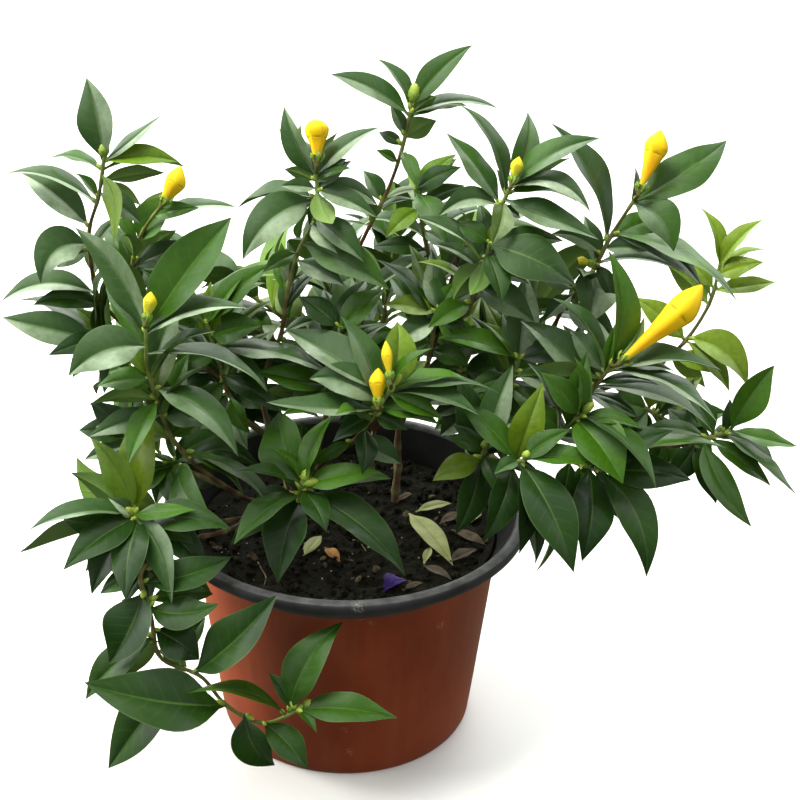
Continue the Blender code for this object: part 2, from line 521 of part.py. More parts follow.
# The pot's outline, radius and height in mm: floor inside, inner wall, lip, outer wall, underside
POT_OUTLINE = (
    (0, 1.8), (61.2, 2), (73.2, 97), (75, 104), (84, 118.4), (88.6, 119), (90, 116.8), (88.6, 112.6),
    (84, 111.4), (75, 101), (63.5, 1.6), (62.4, 0), (0, 0),
)
SOIL_OUTLINE = ((0, 103.4), (70, 102.6), (73.8, 101.6), (60.7, 2.4), (0, 2.1))

# A bud's radius as a share of its greatest, along its length
BUD_GREEN = ((0, 0.5), (0.35, 1.0), (0.7, 0.8), (1, 0.0))
BUD_YELLOW = ((0, 0.36), (0.3, 0.62), (0.6, 0.92), (0.76, 1.0), (0.92, 0.6), (1, 0.0))
BUD_SIDES = 6
CALYX_LENGTH = 5 * MM
SIGHT = "sight"
SIGHT_LENGTH = 120 * MM
BUD_FORWARD = 7 * MM

# Ways to bend a charted leaf off a neighbour: degrees of lean, share of its arch, share of its length
LEAF_TRIES = (
    (0, 1, 1), (7, 1, 1), (-7, 1, 1), (14, 1, 1), (-14, 1, 1), (0, 0.2, 1), (0, 1.8, 1), (21, 1, 1),
    (-21, 1, 1), (28, 1, 1), (-28, 1, 1), (10, 0.2, 0.95), (-10, 0.2, 0.95), (36, 1, 1), (-36, 1, 1),
    (0, 1, 0.86), (16, 1, 0.86), (-16, 1, 0.86), (30, 1, 0.86), (-30, 1, 0.86), (0, 1, 0.72), (20, 1, 0.72),
    (-20, 1, 0.72), (40, 1, 0.8), (-40, 1, 0.8), (0, 1, 0.58), (25, 1, 0.58), (-25, 1, 0.58), (45, 1, 0.6),
    (-45, 1, 0.6),
)
# The same for a leaf placed by rule: degrees round the stem, degrees of rise, share of its length
RULE_TRIES = (
    (0, 0, 1), (14, 0, 1), (-14, 0, 1), (0, 12, 1), (0, -12, 1), (28, 6, 1), (-28, 6, 1), (28, -12, 0.9),
    (-28, -12, 0.9), (0, 24, 0.9), (44, 0, 0.9), (-44, 0, 0.9), (14, 18, 0.78), (-14, 18, 0.78),
    (30, -20, 0.7), (-30, -20, 0.7), (0, 0, 0.6), (50, 20, 0.6), (-50, 20, 0.6),
)


def ray(u, v):
    """The way the eye looks at a pixel, one unit deep."""
    return AHEAD + RIGHT * ((u - MIDDLE_PX) / FOCAL_PX) + UPWARD * ((MIDDLE_PX - v) / FOCAL_PX)


def depth_of(point):
    return (point - EYE).dot(AHEAD)


def seen(u, v, behind):
    """The point seen at a pixel that stands so many millimetres behind the pot's axis."""
    way = ray(u, v)
    return EYE + way * ((behind * MM - EYE.y) / way.y)


def pixel_of(point):
    offset = point - EYE
    scale = FOCAL_PX / offset.dot(AHEAD)
    return MIDDLE_PX + offset.dot(RIGHT) * scale, MIDDLE_PX - offset.dot(UPWARD) * scale


def curve_through(points, step=STEM_STEP):
    """Points about a step apart along a smooth curve through the given ones."""
    ends = [points[0]] + list(points) + [points[-1]]
    fine = []
    for before, here, there, after in zip(ends, ends[1:], ends[2:], ends[3:]):
        for count in range(CURVE_STEPS):
            t = count / CURVE_STEPS
            fine.append(0.5 * (2 * here + (there - before) * t
                               + (2 * before - 5 * here + 4 * there - after) * t ** 2
                               + (3 * here - before - 3 * there + after) * t ** 3))
    fine.append(points[-1])
    pieces = max(2, round(path_length(fine) / step))
    return [along(fine, count / pieces)[0] for count in range(pieces + 1)]


def path_length(points):
    return sum((b - a).length for a, b in zip(points, points[1:]))


def along(points, share):
    """The point at a share of a path's length, and the path's direction there."""
    spans = [(b - a).length for a, b in zip(points, points[1:])]
    left = share * sum(spans)
    for a, b, span in zip(points, points[1:], spans):
        if left <= span or b is points[-1]:
            return a.lerp(b, left / span), (b - a) / span
        left -= span


def cut_path(points, start, end):
    """The part of a path between two distances from its start. A negative one counts back from its end."""
    total = path_length(points)
    stop = end if end > 0 else total + end
    inner = []
    done = 0
    for a, b in zip(points, points[1:]):
        done += (b - a).length
        if start < done < stop:
            inner.append(b)
    return [along(points, start / total)[0]] + inner + [along(points, stop / total)[0]]


def tube(points, radii, sides=STEM_SIDES):
    """A closed round solid along points, one radius each. A last radius of zero ends it in a point."""
    normal = (points[1] - points[0]).orthogonal().normalized()
    verts = []
    faces = []
    pointed = radii[-1] == 0
    rings = len(points) - pointed
    for index in range(rings):
        onward = points[min(index + 1, len(points) - 1)] - points[max(index - 1, 0)]
        onward.normalize()
        normal = (normal - onward * normal.dot(onward)).normalized()
        side = onward.cross(normal)
        for corner in range(sides):
            angle = math.tau * corner / sides
            verts.append(points[index] + (normal * math.cos(angle) + side * math.sin(angle)) * radii[index])
    for index in range(rings - 1):
        for corner in range(sides):
            after = (corner + 1) % sides
            a, b = index * sides + corner, index * sides + after
            faces += [(a, b, b + sides), (a, b + sides, a + sides)]
    last = (rings - 1) * sides
    faces += [(0, corner + 1, corner) for corner in range(1, sides - 1)]
    if pointed:
        verts.append(points[-1])
        faces += [(last + corner, last + (corner + 1) % sides, last + sides) for corner in range(sides)]
    else:
        faces += [(last, last + corner, last + corner + 1) for corner in range(1, sides - 1)]
    return verts, faces


def lathed(outline):
    """A solid of revolution, whose outline runs in mm from the axis round to the axis again."""
    verts = []
    faces = []
    for radius, height in outline[1:-1]:
        for step in range(POT_STEPS):
            angle = math.tau * step / POT_STEPS
            verts.append(Vector((math.cos(angle) * radius, math.sin(angle) * radius, height)) * MM)
    verts += [Vector((0, 0, outline[0][1])) * MM, Vector((0, 0, outline[-1][1])) * MM]
    last = len(outline[1:-1]) - 1
    for step in range(POT_STEPS):
        after = (step + 1) % POT_STEPS
        for ring in range(last):
            a, b = ring * POT_STEPS + step, ring * POT_STEPS + after
            faces += [(a, b, b + POT_STEPS), (a, b + POT_STEPS, a + POT_STEPS)]
        faces.append((after, step, len(verts) - 2))
        faces.append((last * POT_STEPS + step, last * POT_STEPS + after, len(verts) - 1))
    return verts, faces


def taper(points, first, last):
    return [first + (last - first) * index / (len(points) - 1) for index in range(len(points))]


def blade_solid(blade, swell=0, start=0):
    """A leaf, flat above and keeled below. Swell thickens it all round, start leaves out its inner end."""
    chord = blade.tip - blade.root
    verts = []
    for t, share in STATIONS[:-1]:
        if t < start:
            continue
        middle = blade.root + chord * t + blade.arch * (4 * t * (1 - t))
        onward = (chord + blade.arch * (4 * (1 - 2 * t))).normalized()
        side = onward.cross(blade.normal).normalized()
        up = side.cross(onward)
        half = STALK_HALF_WIDTH if share is None else blade.width / 2 * share
        flat = middle + up * (FLAT_ABOVE + swell)
        reach = side * (half + swell)
        verts += [flat - reach, flat + reach, middle - up * (KEEL_BELOW + swell)]
    faces = [(0, 1, 2)]
    last = len(verts) - 3
    for left in range(0, last, 3):
        right, keel = left + 1, left + 2
        for a, b in ((left, right), (right, keel), (keel, left)):
            faces += [(a, b, b + 3), (a, b + 3, a + 3)]
    verts.append(blade.tip + chord.normalized() * swell)
    faces += [(last + corner, last + (corner + 1) % 3, last + 3) for corner in range(3)]
    return verts, faces


class Placed(NamedTuple):
    """A solid that others keep clear of."""

    owner: str
    low: tuple
    high: tuple
    tree: BVHTree
    outer: BVHTree


def placed(owner, solid, outer=None):
    verts, faces = solid
    low = [min(vert[axis] for vert in verts) for axis in range(3)]
    high = [max(vert[axis] for vert in verts) for axis in range(3)]
    tree = BVHTree.FromPolygons(verts, faces)
    return Placed(owner, low, high, tree, BVHTree.FromPolygons(*outer) if outer else None)


def near(a, b):
    return all(a.low[axis] <= b.high[axis] and b.low[axis] <= a.high[axis] for axis in range(3))


def is_clear(candidate, crowd, own):
    """Whether a piece meets no other node, nor, with own set, the outer part of its own node's leaves."""
    for other in crowd:
        if not near(candidate, other):
            continue
        if other.owner != candidate.owner:
            if candidate.tree.overlap(other.tree):
                return False
        elif own and other.outer and candidate.outer.overlap(other.outer):
            return False
    return True


def clear_blade(owner, blades, crowd):
    """The first of the blades that is clear of the crowd, which it joins, or None."""
    for own in (True, False):
        for blade in blades:
            if (blade.tip - blade.root).length < SHORTEST_LEAF:
                continue
            swollen = blade_solid(blade, CLEARANCE)
            if min(vert.z for vert in swollen[0]) < LOWEST_LEAF:
                continue
            outer = blade_solid(blade, CLEARANCE, OUTER_FROM)
            if is_clear(placed(owner, swollen, outer), crowd, own):
                crowd.append(placed(owner, blade_solid(blade), blade_solid(blade, 0, OUTER_FROM)))
                return blade
    return None


def in_crown(point):
    """Whether a point is seen inside the crown's outline."""
    u, v = pixel_of(point)
    inside = False
    for (a_u, a_v), (b_u, b_v) in zip(CROWN, CROWN[1:] + CROWN[:1]):
        if (a_v > v) != (b_v > v) and u < a_u + (b_u - a_u) * (v - a_v) / (b_v - a_v):
            inside = not inside
    return inside


def nearest_share(stem, u, v):
    """The share of a stem's length at which it is seen nearest to a pixel."""
    shares = [count / SHARE_STEPS for count in range(6, SHARE_STEPS)]

    def miss(share):
        at = pixel_of(along(stem, share)[0])
        return math.hypot(at[0] - u, at[1] - v)

    return min(shares, key=miss)


def charted_blades(row, stem):
    """A leaf of the table, then the ways to bend it."""
    u, v, tip_u, tip_v, width, lean, side, *middle = row
    stagger = STAGGER * ((tip_u + tip_v) % 7 - 3) / 3 / path_length(stem)
    root = along(stem, min(LAST_SHARE, nearest_share(stem, u, v) + stagger))[0]
    depth = depth_of(root)
    way = ray(tip_u, tip_v)
    reach = (EYE + way * depth - root).length
    for more, arch, share in LEAF_TRIES:
        tip = EYE + way * (depth - reach * math.tan(math.radians(lean + more)))
        tip = root.lerp(tip, share)
        chord = tip - root
        to_eye = (EYE - root).normalized()
        facing = (to_eye - chord * (to_eye.dot(chord) / chord.length_squared)).normalized()
        rise = chord.cross(facing).normalized()
        if rise.dot(Vector((root.x, root.y, 0)).normalized() * OUTWARD + Vector((0, 0, 1))) < 0:
            rise = -rise
        shown = width * depth / FOCAL_PX
        full = max(shown / MOST_FACING, WIDTH_TO_LENGTH * chord.length)
        turn = side * shown / full
        normal = (facing * turn + rise * math.sqrt(1 - turn ** 2)).normalized()
        bend = normal * (chord.length * BOW_TO_LENGTH)
        if middle:
            halfway = root + chord / 2
            bend = EYE + ray(*middle) * depth_of(halfway) - halfway
            bend -= chord * (bend.dot(chord) / chord.length_squared)
            bend += facing * (chord.length * BOW_TO_LENGTH * turn)
        yield Blade(root, tip, normal, full, bend * arch)


def ruled_blades(stem, share, bearing, spread, length, width_ratio):
    """A leaf set at a bearing round its stem and spread from it, then the ways to bend it."""
    root, onward = along(stem, share)
    level = onward.cross(Vector((0, 0, 1)))
    if level.length < 0.2:
        level = onward.cross(Vector((0, 1, 0)))
    level.normalize()
    over = level.cross(onward).normalized()
    for turn, rise, part in RULE_TRIES:
        angle = math.radians(bearing + turn)
        away = level * math.cos(angle) + over * math.sin(angle)
        opened = math.radians(spread - rise)
        way = onward * math.cos(opened) + away * math.sin(opened)
        way.z += 0.1
        way.normalize()
        chord = way * length * part
        upper = Vector((0, 0, 0.8)) + onward * 0.7
        normal = (upper - way * upper.dot(way)).normalized()
        if in_crown(root + chord) and in_crown(root + chord * 0.6):
            arch = normal * (chord.length * BOW_TO_LENGTH)
            yield Blade(root, root + chord, normal, chord.length * width_ratio, arch)


def clear_scene():
    for obj in list(bpy.data.objects):
        bpy.data.objects.remove(obj)


def new_collection(name):
    collection = bpy.data.collections.new(name)
    bpy.context.scene.collection.children.link(collection)
    return collection


def new_material(name):
    colour, roughness = MATERIALS[name]
    material = bpy.data.materials.new(name)
    material.use_nodes = True
    material.diffuse_color = (*colour, 1)
    shader = material.node_tree.nodes["Principled BSDF"]
    shader.inputs["Base Color"].default_value = (*colour, 1)
    shader.inputs["Roughness"].default_value = roughness
    return material


def new_object(name, solid, material, collection):
    verts, faces = solid
    mesh = bpy.data.meshes.new(name)
    mesh.from_pydata([tuple(vert) for vert in verts], [], faces)
    work = bmesh.new()
    work.from_mesh(mesh)
    bmesh.ops.recalc_face_normals(work, faces=work.faces)
    work.to_mesh(mesh)
    work.free()
    if material:
        mesh.materials.append(material)
    obj = bpy.data.objects.new(name, mesh)
    collection.objects.link(obj)
    return obj


def boolean(obj, name, operation, operands):
    modifier = obj.modifiers.new(name, "BOOLEAN")
    modifier.operation = operation
    modifier.solver = "MANIFOLD"
    modifier.operand_type = "COLLECTION"
    modifier.collection = operands
    return modifier


def applied(obj):
    """Gives the object its evaluated mesh, with no modifiers left."""
    graph = bpy.context.evaluated_depsgraph_get()
    mesh = bpy.data.meshes.new_from_object(obj.evaluated_get(graph))
    obj.modifiers.clear()
    obj.data = mesh


def is_closed(mesh):
    """Whether each edge has two faces once points a thousandth of a millimetre apart count as one."""
    spots = [tuple(round(value / MM, 3) for value in vert.co) for vert in mesh.vertices]
    uses = {}
    for face in mesh.polygons:
        corners = [spots[index] for index in face.vertices]
        if len(set(corners)) == len(corners):
            for a, b in zip(corners, corners[1:] + corners[:1]):
                uses[frozenset((a, b))] = uses.get(frozenset((a, b)), 0) + 1
    return all(count == 2 for count in uses.values())


def nearest(spot, others):
    return min((spot - other).length for other in others)


def mesh_solid(mesh):
    return [vert.co.copy() for vert in mesh.vertices], [tuple(face.vertices) for face in mesh.polygons]


def far_points(mesh, roots):
    """A mesh's points that lie away from the joints."""
    spots = [vert.co.copy() for vert in mesh.vertices]
    return [spot for spot in spots if nearest(spot, roots) > JOINT_REACH]


def meets_others(obj, crowd):
    """Whether a mesh meets another node. The soil without its holes isn't a trunk's neighbour."""
    passed = (obj.name, SIGHT, "soil") if obj.name in WOODS else (obj.name, SIGHT)
    others = [other for other in crowd if other.owner not in passed]
    return not is_clear(placed(obj.name, mesh_solid(obj.data)), others, False)


def trimmed(obj, solids, crowd):
    """Takes slivers off a mesh's joints as far as it stays closed, whole and clear, and says if it does."""
    full = obj.data
    before = sum(len(faces) for verts, faces in solids)
    roots = [verts[0] for verts, faces in solids[1:]]
    far = far_points(full, roots)
    ends = solids[0][0][:STEM_SIDES] + [verts[-1] for verts, faces in solids]
    ends = [end for end in ends if nearest(end, far) < SAME_SPOT]
    joint = obj.vertex_groups.new(name="joint")
    joint.add([vert.index for vert in full.vertices if vert.co not in far], 1, "REPLACE")
    for factor in JOINT_FACTORS:
        trim = obj.modifiers.new("Trim", "DECIMATE")
        trim.vertex_group = "joint"
        trim.vertex_group_factor = 1000
        trim.ratio = min(1, factor * before / len(full.polygons))
        applied(obj)
        left = far_points(obj.data, roots)
        kept = all(nearest(end, left) < SAME_SPOT for end in ends)
        whole = kept and len(left) >= KEPT_SHARE * len(far) and is_closed(obj.data)
        if whole and not meets_others(obj, crowd):
            return True
        obj.data = full
    return False


def smoothed(obj):
    for polygon in obj.data.polygons:
        polygon.use_smooth = True
    obj.data.set_sharp_from_angle(angle=SHARP_ANGLE)


def fused(name, solids, material, collection, crowd=()):
    """One object that joins solids which run into each other."""
    obj = new_object(name, solids[0], material, collection)
    if len(solids) > 1:
        operands = new_collection(name + "_repeats")
        for index, solid in enumerate(solids[1:]):
            new_object(f"{name}_repeat_{index}", solid, material, operands)
        apart = obj.data
        for solver in ("MANIFOLD", "EXACT"):
            obj.data = apart
            boolean(obj, "Join", "UNION", operands).solver = solver
            obj.modifiers.new("Triangles", "TRIANGULATE")
            applied(obj)
            if trimmed(obj, solids, crowd):
                break
        for repeat in list(operands.objects):
            bpy.data.objects.remove(repeat)
        bpy.data.collections.remove(operands)
    smoothed(obj)
    return obj


def whole_path(shoot):
    """A shoot's lead and stem as one curve, and how far along it the stem starts."""
    lead = [seen(*point) for point in shoot.lead]
    path = [seen(*point) for point in shoot.path]
    return split_curve(lead + path[1:], path[0])


def split_curve(points, at):
    curve = curve_through(points)
    shares = [count / SHARE_STEPS for count in range(1, SHARE_STEPS)]
    return curve, path_length(curve) * min(shares, key=lambda share: (along(curve, share)[0] - at).length)


def back_path(bearing, reach, height):
    start = seen(*WOODS["wood_back"][-1])
    angle = math.radians(bearing)
    end = Vector((math.cos(angle) * reach, math.sin(angle) * reach, height)) * MM
    arch = (end - start).length * BACK_ARCH
    points = []
    for t in BACK_SHARES:
        points.append(start.lerp(end, t) + Vector((0, 0, arch * 4 * t * (1 - t))))
    return split_curve(points, points[2])


def bud_solids(stem, row):
    """The green solids of a bud, and its coloured one or None."""
    u, v, tip_u, tip_v, width, colour = row
    start = along(stem, nearest_share(stem, u, v))[0] if colour != "green" else stem[-1]
    depth = depth_of(start)
    foot = EYE + ray(u, v) * depth
    tip = EYE + ray(tip_u, tip_v) * depth
    radius = width * depth / FOCAL_PX / 2
    axis = tip - foot
    if colour == "green":
        start = along(stem, max(0.5, nearest_share(stem, u, v)))[0]
        points = [start] + [foot + axis * t for t, share in BUD_GREEN]
        return [tube(points, [TIP_RADIUS * 0.7] + [radius * share for t, share in BUD_GREEN])], None
    toward = (EYE - foot).normalized() * BUD_FORWARD
    foot += toward
    tip += toward
    way = axis.normalized()
    base = foot - way * CALYX_LENGTH * 0.6
    cup = foot + way * CALYX_LENGTH * 0.4
    bloom = foot + way * (CALYX_LENGTH * 0.4 + GAP)
    length = tip - bloom
    neck = BUD_YELLOW[0][1] * radius
    green = tube([start, base, foot, cup], [TIP_RADIUS * 0.7, TIP_RADIUS * 0.8, neck * 1.1, neck * 1.25])
    points = [bloom + length * t for t, share in BUD_YELLOW]
    return [green], tube(points, [radius * share for t, share in BUD_YELLOW], BUD_SIDES)


def sight_lines(bloom):
    """Rods from a bud toward the eye, which leaves keep clear of so that the bud shows."""
    rings = [bloom[start:start + BUD_SIDES] for start in range(0, len(bloom) - 1, BUD_SIDES)]
    for ring in rings[1:]:
        middle = sum(ring, Vector()) / BUD_SIDES
        way = (EYE - middle).normalized()
        radius = (ring[0] - middle).length
        start = middle + way * (radius + 2 * MM)
        yield tube([start, start + way * SIGHT_LENGTH], [radius * 0.6] * 2)


def layout(obstacles):
    """Places every twig, stem, bud and leaf: the solids of each node, by name, with its material."""
    chance = random.Random(SEED)
    crowd = [placed(name, solid) for name, solid in obstacles]
    sights = []
    solids = {name: ("bark", []) for name in WOODS}
    stems = {}
    for name, path in WOODS.items():
        foot = seen(*path[0])
        peg = tube([foot - Vector((0, 0, WOOD_DEPTH)), foot + Vector((0, 0, 3 * MM))], [WOOD_RADIUS] * 2)
        points = [foot + Vector((0, 0, 2.5 * MM))] + [seen(*point) for point in path[1:]]
        curve = curve_through(points)
        solids[name][1].extend([peg, tube(curve, taper(curve, WOOD_RADIUS, LEAD_RADIUS))])
    paths = [(shoot.name, shoot.wood, whole_path(shoot)) for shoot in SHOOTS]
    paths += [(row[0], "wood_back", back_path(*row[1:4])) for row in BACK_SHOOTS]
    for name, wood, (curve, start) in paths:
        lead = cut_path(curve, 0, start - GAP)
        stem = cut_path(curve, start, -1e-6)
        stems[name] = stem
        solids[wood][1].append(tube(lead, taper(lead, LEAD_RADIUS, FOOT_RADIUS)))
        look = "leaf_fresh" if name == FRESH_SHOOT else "leaf_green"
        solids[name] = (look, [tube(stem, taper(stem, FOOT_RADIUS, TIP_RADIUS))])
    for shoot in SHOOTS:
        for index, row in enumerate(shoot.buds):
            green, bloom = bud_solids(stems[shoot.name], row)
            solids[shoot.name][1].extend(green)
            if bloom:
                solids[f"{shoot.name}_flower_{index + 1}"] = ("petal_yellow", [bloom])
                sights += sight_lines(bloom[0])
    for name, (material, parts) in solids.items():
        crowd += [placed(name, part) for part in parts]
    crowd += [placed(SIGHT, line) for line in sights]
    blades = []
    for shoot in SHOOTS:
        for row in shoot.leaves:
            blade = clear_blade(shoot.name, list(charted_blades(row, stems[shoot.name])), crowd)
            blades.append((shoot.name, row, blade))
    for name, _, _, _, count in BACK_SHOOTS:
        for index in range(count):
            share = 0.12 + 0.84 * (index // 2) / (count / 2 - 1)
            bearing = 90 * (index // 2) + 180 * (index % 2) + chance.uniform(-12, 12)
            spread = 68 - 30 * share + chance.uniform(-6, 6)
            size = chance.uniform(42, 56) * MM, chance.uniform(0.3, 0.38)
            tries = list(ruled_blades(stems[name], share, bearing, spread, *size))
            blades.append((name, None, clear_blade(name, tries, crowd)))
    for shoot in SHOOTS:
        for index in range(shoot.extra):
            share = 0.15 + 0.75 * (index + 0.5) / shoot.extra
            bearing = 65 + 50 * (index % 2) + chance.uniform(-20, 20)
            size = chance.uniform(36, 50) * MM, chance.uniform(0.3, 0.38)
            tries = list(ruled_blades(stems[shoot.name], share, bearing, EXTRA_SPREAD, *size))
            blades.append((shoot.name, None, clear_blade(shoot.name, tries, crowd)))
    for name, row, blade in blades:
        if blade:
            solids[name][1].append(blade_solid(blade))
    return solids, blades, crowd


def litter_solids():
    for name, u, v, tip_u, tip_v, width in LITTER:
        ends = []
        for at_u, at_v in ((u, v), (tip_u, tip_v)):
            way = ray(at_u, at_v)
            ends.append(EYE + way * ((SOIL_TOP + LITTER_LIFT - EYE.z) / way.z))
        chord = ends[1] - ends[0]
        up = Vector((0, 0, 1))
        yield name, blade_solid(Blade(ends[0], ends[1], up, width * MM, up * (chord.length * 0.06)))


def build():
    clear_scene()
    parts = new_collection("potted_jasmine")
    cutters = new_collection("cutters")
    drains = new_collection("drain_cutters")
    materials = {name: new_material(name) for name in MATERIALS}

    pot_solid = lathed(POT_OUTLINE)
    pot = new_object("pot", pot_solid, materials["pot_red"], parts)
    smoothed(pot)
    for index in range(DRAIN_HOLES):
        angle = math.tau * index / DRAIN_HOLES
        middle = Vector((math.cos(angle), math.sin(angle), 0)) * DRAIN_RING
        ends = [middle - Vector((0, 0, FLOOR_THICKNESS)), middle + Vector((0, 0, 2 * FLOOR_THICKNESS))]
        new_object(f"drain_cutter_{index}", tube(ends, [DRAIN_RADIUS] * 2, DRAIN_SIDES), None, drains)
    boolean(pot, "Drain", "DIFFERENCE", drains)

    soil_solid = lathed(SOIL_OUTLINE)
    soil = new_object("soil", soil_solid, materials["soil_dark"], parts)
    smoothed(soil)
    for name, path in WOODS.items():
        foot = seen(*path[0])
        ends = [foot - Vector((0, 0, WOOD_DEPTH + GAP)), foot + Vector((0, 0, 8 * MM))]
        new_object(f"{name}_hole_cutter", tube(ends, [WOOD_RADIUS + HOLE_CLEARANCE] * 2), None, cutters)
    boolean(soil, "Stem holes", "DIFFERENCE", cutters)

    litter = list(litter_solids())
    obstacles = [("pot", pot_solid), ("soil", soil_solid)] + litter
    solids, blades, crowd = layout(obstacles)
    for name, (material, pieces) in solids.items():
        fused(name, pieces, materials[material], parts, crowd)
    litter_looks = ("leaf_fallen", "leaf_amber", "petal_violet", "leaf_dry", "leaf_dry")
    for (name, solid), look in zip(litter, litter_looks):
        fused(name, [solid], materials[look], parts)

    for collection in (cutters, drains):
        collection.hide_render = True
        for obj in collection.objects:
            obj.hide_render = True
            obj.display_type = "WIRE"
    return blades, crowd


if __name__ == "__main__":
    build()
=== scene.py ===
"""The looks of a potted yellow jasmine in bud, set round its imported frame.

Metres, +Z up. The tables and the layout are the frame's own, so each fine leaf lies where its plain one is.
A place in a table is the pixel at which it is seen and the millimetres it stands behind the pot's axis.
"""

import math
import random
from typing import NamedTuple

import bmesh
import bpy
from mathutils import Euler, Matrix, Vector, noise
from mathutils.bvhtree import BVHTree


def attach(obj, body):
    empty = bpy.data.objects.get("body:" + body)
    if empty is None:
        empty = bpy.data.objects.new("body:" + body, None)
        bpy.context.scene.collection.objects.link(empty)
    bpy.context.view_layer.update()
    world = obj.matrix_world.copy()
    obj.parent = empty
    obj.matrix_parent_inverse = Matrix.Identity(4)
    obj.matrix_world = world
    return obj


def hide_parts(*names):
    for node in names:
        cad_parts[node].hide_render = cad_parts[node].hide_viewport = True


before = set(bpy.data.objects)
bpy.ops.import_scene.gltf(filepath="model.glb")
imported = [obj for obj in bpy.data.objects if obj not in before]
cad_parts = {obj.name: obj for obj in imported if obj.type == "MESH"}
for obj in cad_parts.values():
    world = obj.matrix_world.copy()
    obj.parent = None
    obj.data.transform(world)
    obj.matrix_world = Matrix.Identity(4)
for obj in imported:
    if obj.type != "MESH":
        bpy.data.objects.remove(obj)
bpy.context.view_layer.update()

MM = 0.001
GAP = 0.3 * MM
SEED = 11

# Pot
POT_STEPS = 40
SHARP_ANGLE = math.radians(35)
FLOOR_THICKNESS = 2 * MM
DRAIN_HOLES = 6
DRAIN_RADIUS = 3.5 * MM
DRAIN_RING = 40 * MM
DRAIN_SIDES = 24

# Soil
SOIL_TOP = 103 * MM
LITTER_LIFT = 1.4 * MM

# Stems and leaves
STEM_SIDES = 5
STEM_STEP = 20 * MM
CURVE_STEPS = 8
SHARE_STEPS = 200
TO_END = -1e-6
WOOD_RADIUS = 2.4 * MM
LEAD_RADIUS = 1.9 * MM
FOOT_RADIUS = 1.5 * MM
TIP_RADIUS = 1.1 * MM
WOOD_DEPTH = 24 * MM
PEG_ABOVE = 3 * MM
TRUNK_FROM = 2.5 * MM
STAGGER = 2.0 * MM
STAGGER_PLACES = 3
FIRST_STEP = 6
LAST_SHARE = 0.975
STALK_HALF_WIDTH = 0.8 * MM
FLAT_ABOVE = 0.3 * MM
KEEL_BELOW = 0.8 * MM
WIDTH_TO_LENGTH = 0.33
BOW_TO_LENGTH = 0.12
MOST_FACING = 0.9
OUTWARD = 0.6
SHORTEST_LEAF = 12 * MM
LOWEST_LEAF = 1 * MM
CLEARANCE = 0.45 * MM
OUTER_FROM = 0.27

# Leaves placed by rule: shares of a stem, degrees round it and away from it, lengths in mm, widths as shares
BACK_LEAVES_FROM = 0.12
BACK_LEAVES_OVER = 0.84
BACK_TURN = (-12, 12)
BACK_SPREAD = 68
TIP_NARROWER = 30
SPREAD_CHANCE = (-6, 6)
BACK_LENGTH = (42, 56)
EXTRA_FROM = 0.15
EXTRA_OVER = 0.75
EXTRA_BEARINGS = (65, 115)
EXTRA_TURN = (-20, 20)
EXTRA_SPREAD = 62
EXTRA_LENGTH = (36, 50)
RULE_WIDTH = (0.3, 0.38)
LEVEL_LEAST = 0.2
RULE_LIFT = 0.1
RULE_UP = Vector((0, 0, 0.8))
RULE_ALONG = 0.7
CROWN_CHECK = 0.6

# Half width of a leaf as a share of its greatest, at each station from stalk to tip
STATIONS = ((0.0, None), (0.27, 0.86), (0.52, 1.04), (0.78, 0.7), (1.0, 0.0))

# The reference view
EYE = Vector((25.2 * MM, -767 * MM, 589 * MM))
PITCH = math.radians(28.3)
ROLL = math.radians(1.03)
FOCAL_PX = 1826
MIDDLE_PX = 400
AHEAD = Vector((0, math.cos(PITCH), -math.sin(PITCH)))
LEVEL_RIGHT = Vector((1, 0, 0))
LEVEL_UP = Vector((0, math.sin(PITCH), math.cos(PITCH)))
RIGHT = LEVEL_RIGHT * math.cos(ROLL) + LEVEL_UP * math.sin(ROLL)
UPWARD = LEVEL_UP * math.cos(ROLL) - LEVEL_RIGHT * math.sin(ROLL)

TOP = 1
UNDER = -1


class Shoot(NamedTuple):
    """A leafy shoot. Its lead is the bare twig that carries it, and ends at the first point of its stem."""

    name: str
    wood: str
    lead: tuple
    path: tuple
    leaves: tuple
    buds: tuple = ()
    extra: int = 0


class Blade(NamedTuple):
    """One leaf: its stalk's foot, its tip, its upper side's direction, its width and where it arches to."""

    root: Vector
    tip: Vector
    normal: Vector
    width: float
    arch: Vector


# Woods: the first path of each is its trunk, which starts under the soil
WOODS = {
    "wood_centre": ((395, 500, 26), (398, 470, 25), (398, 430, 22), (402, 405, 22)),
    "wood_left": ((299, 533, -5), (290, 490, -5), (272, 440, 0), (262, 400, 5)),
    "wood_right": ((460, 519, 10), (470, 480, 10), (490, 450, 8), (520, 425, 5)),
    "wood_back": ((371, 472, 55), (372, 450, 57), (374, 430, 60)),
}

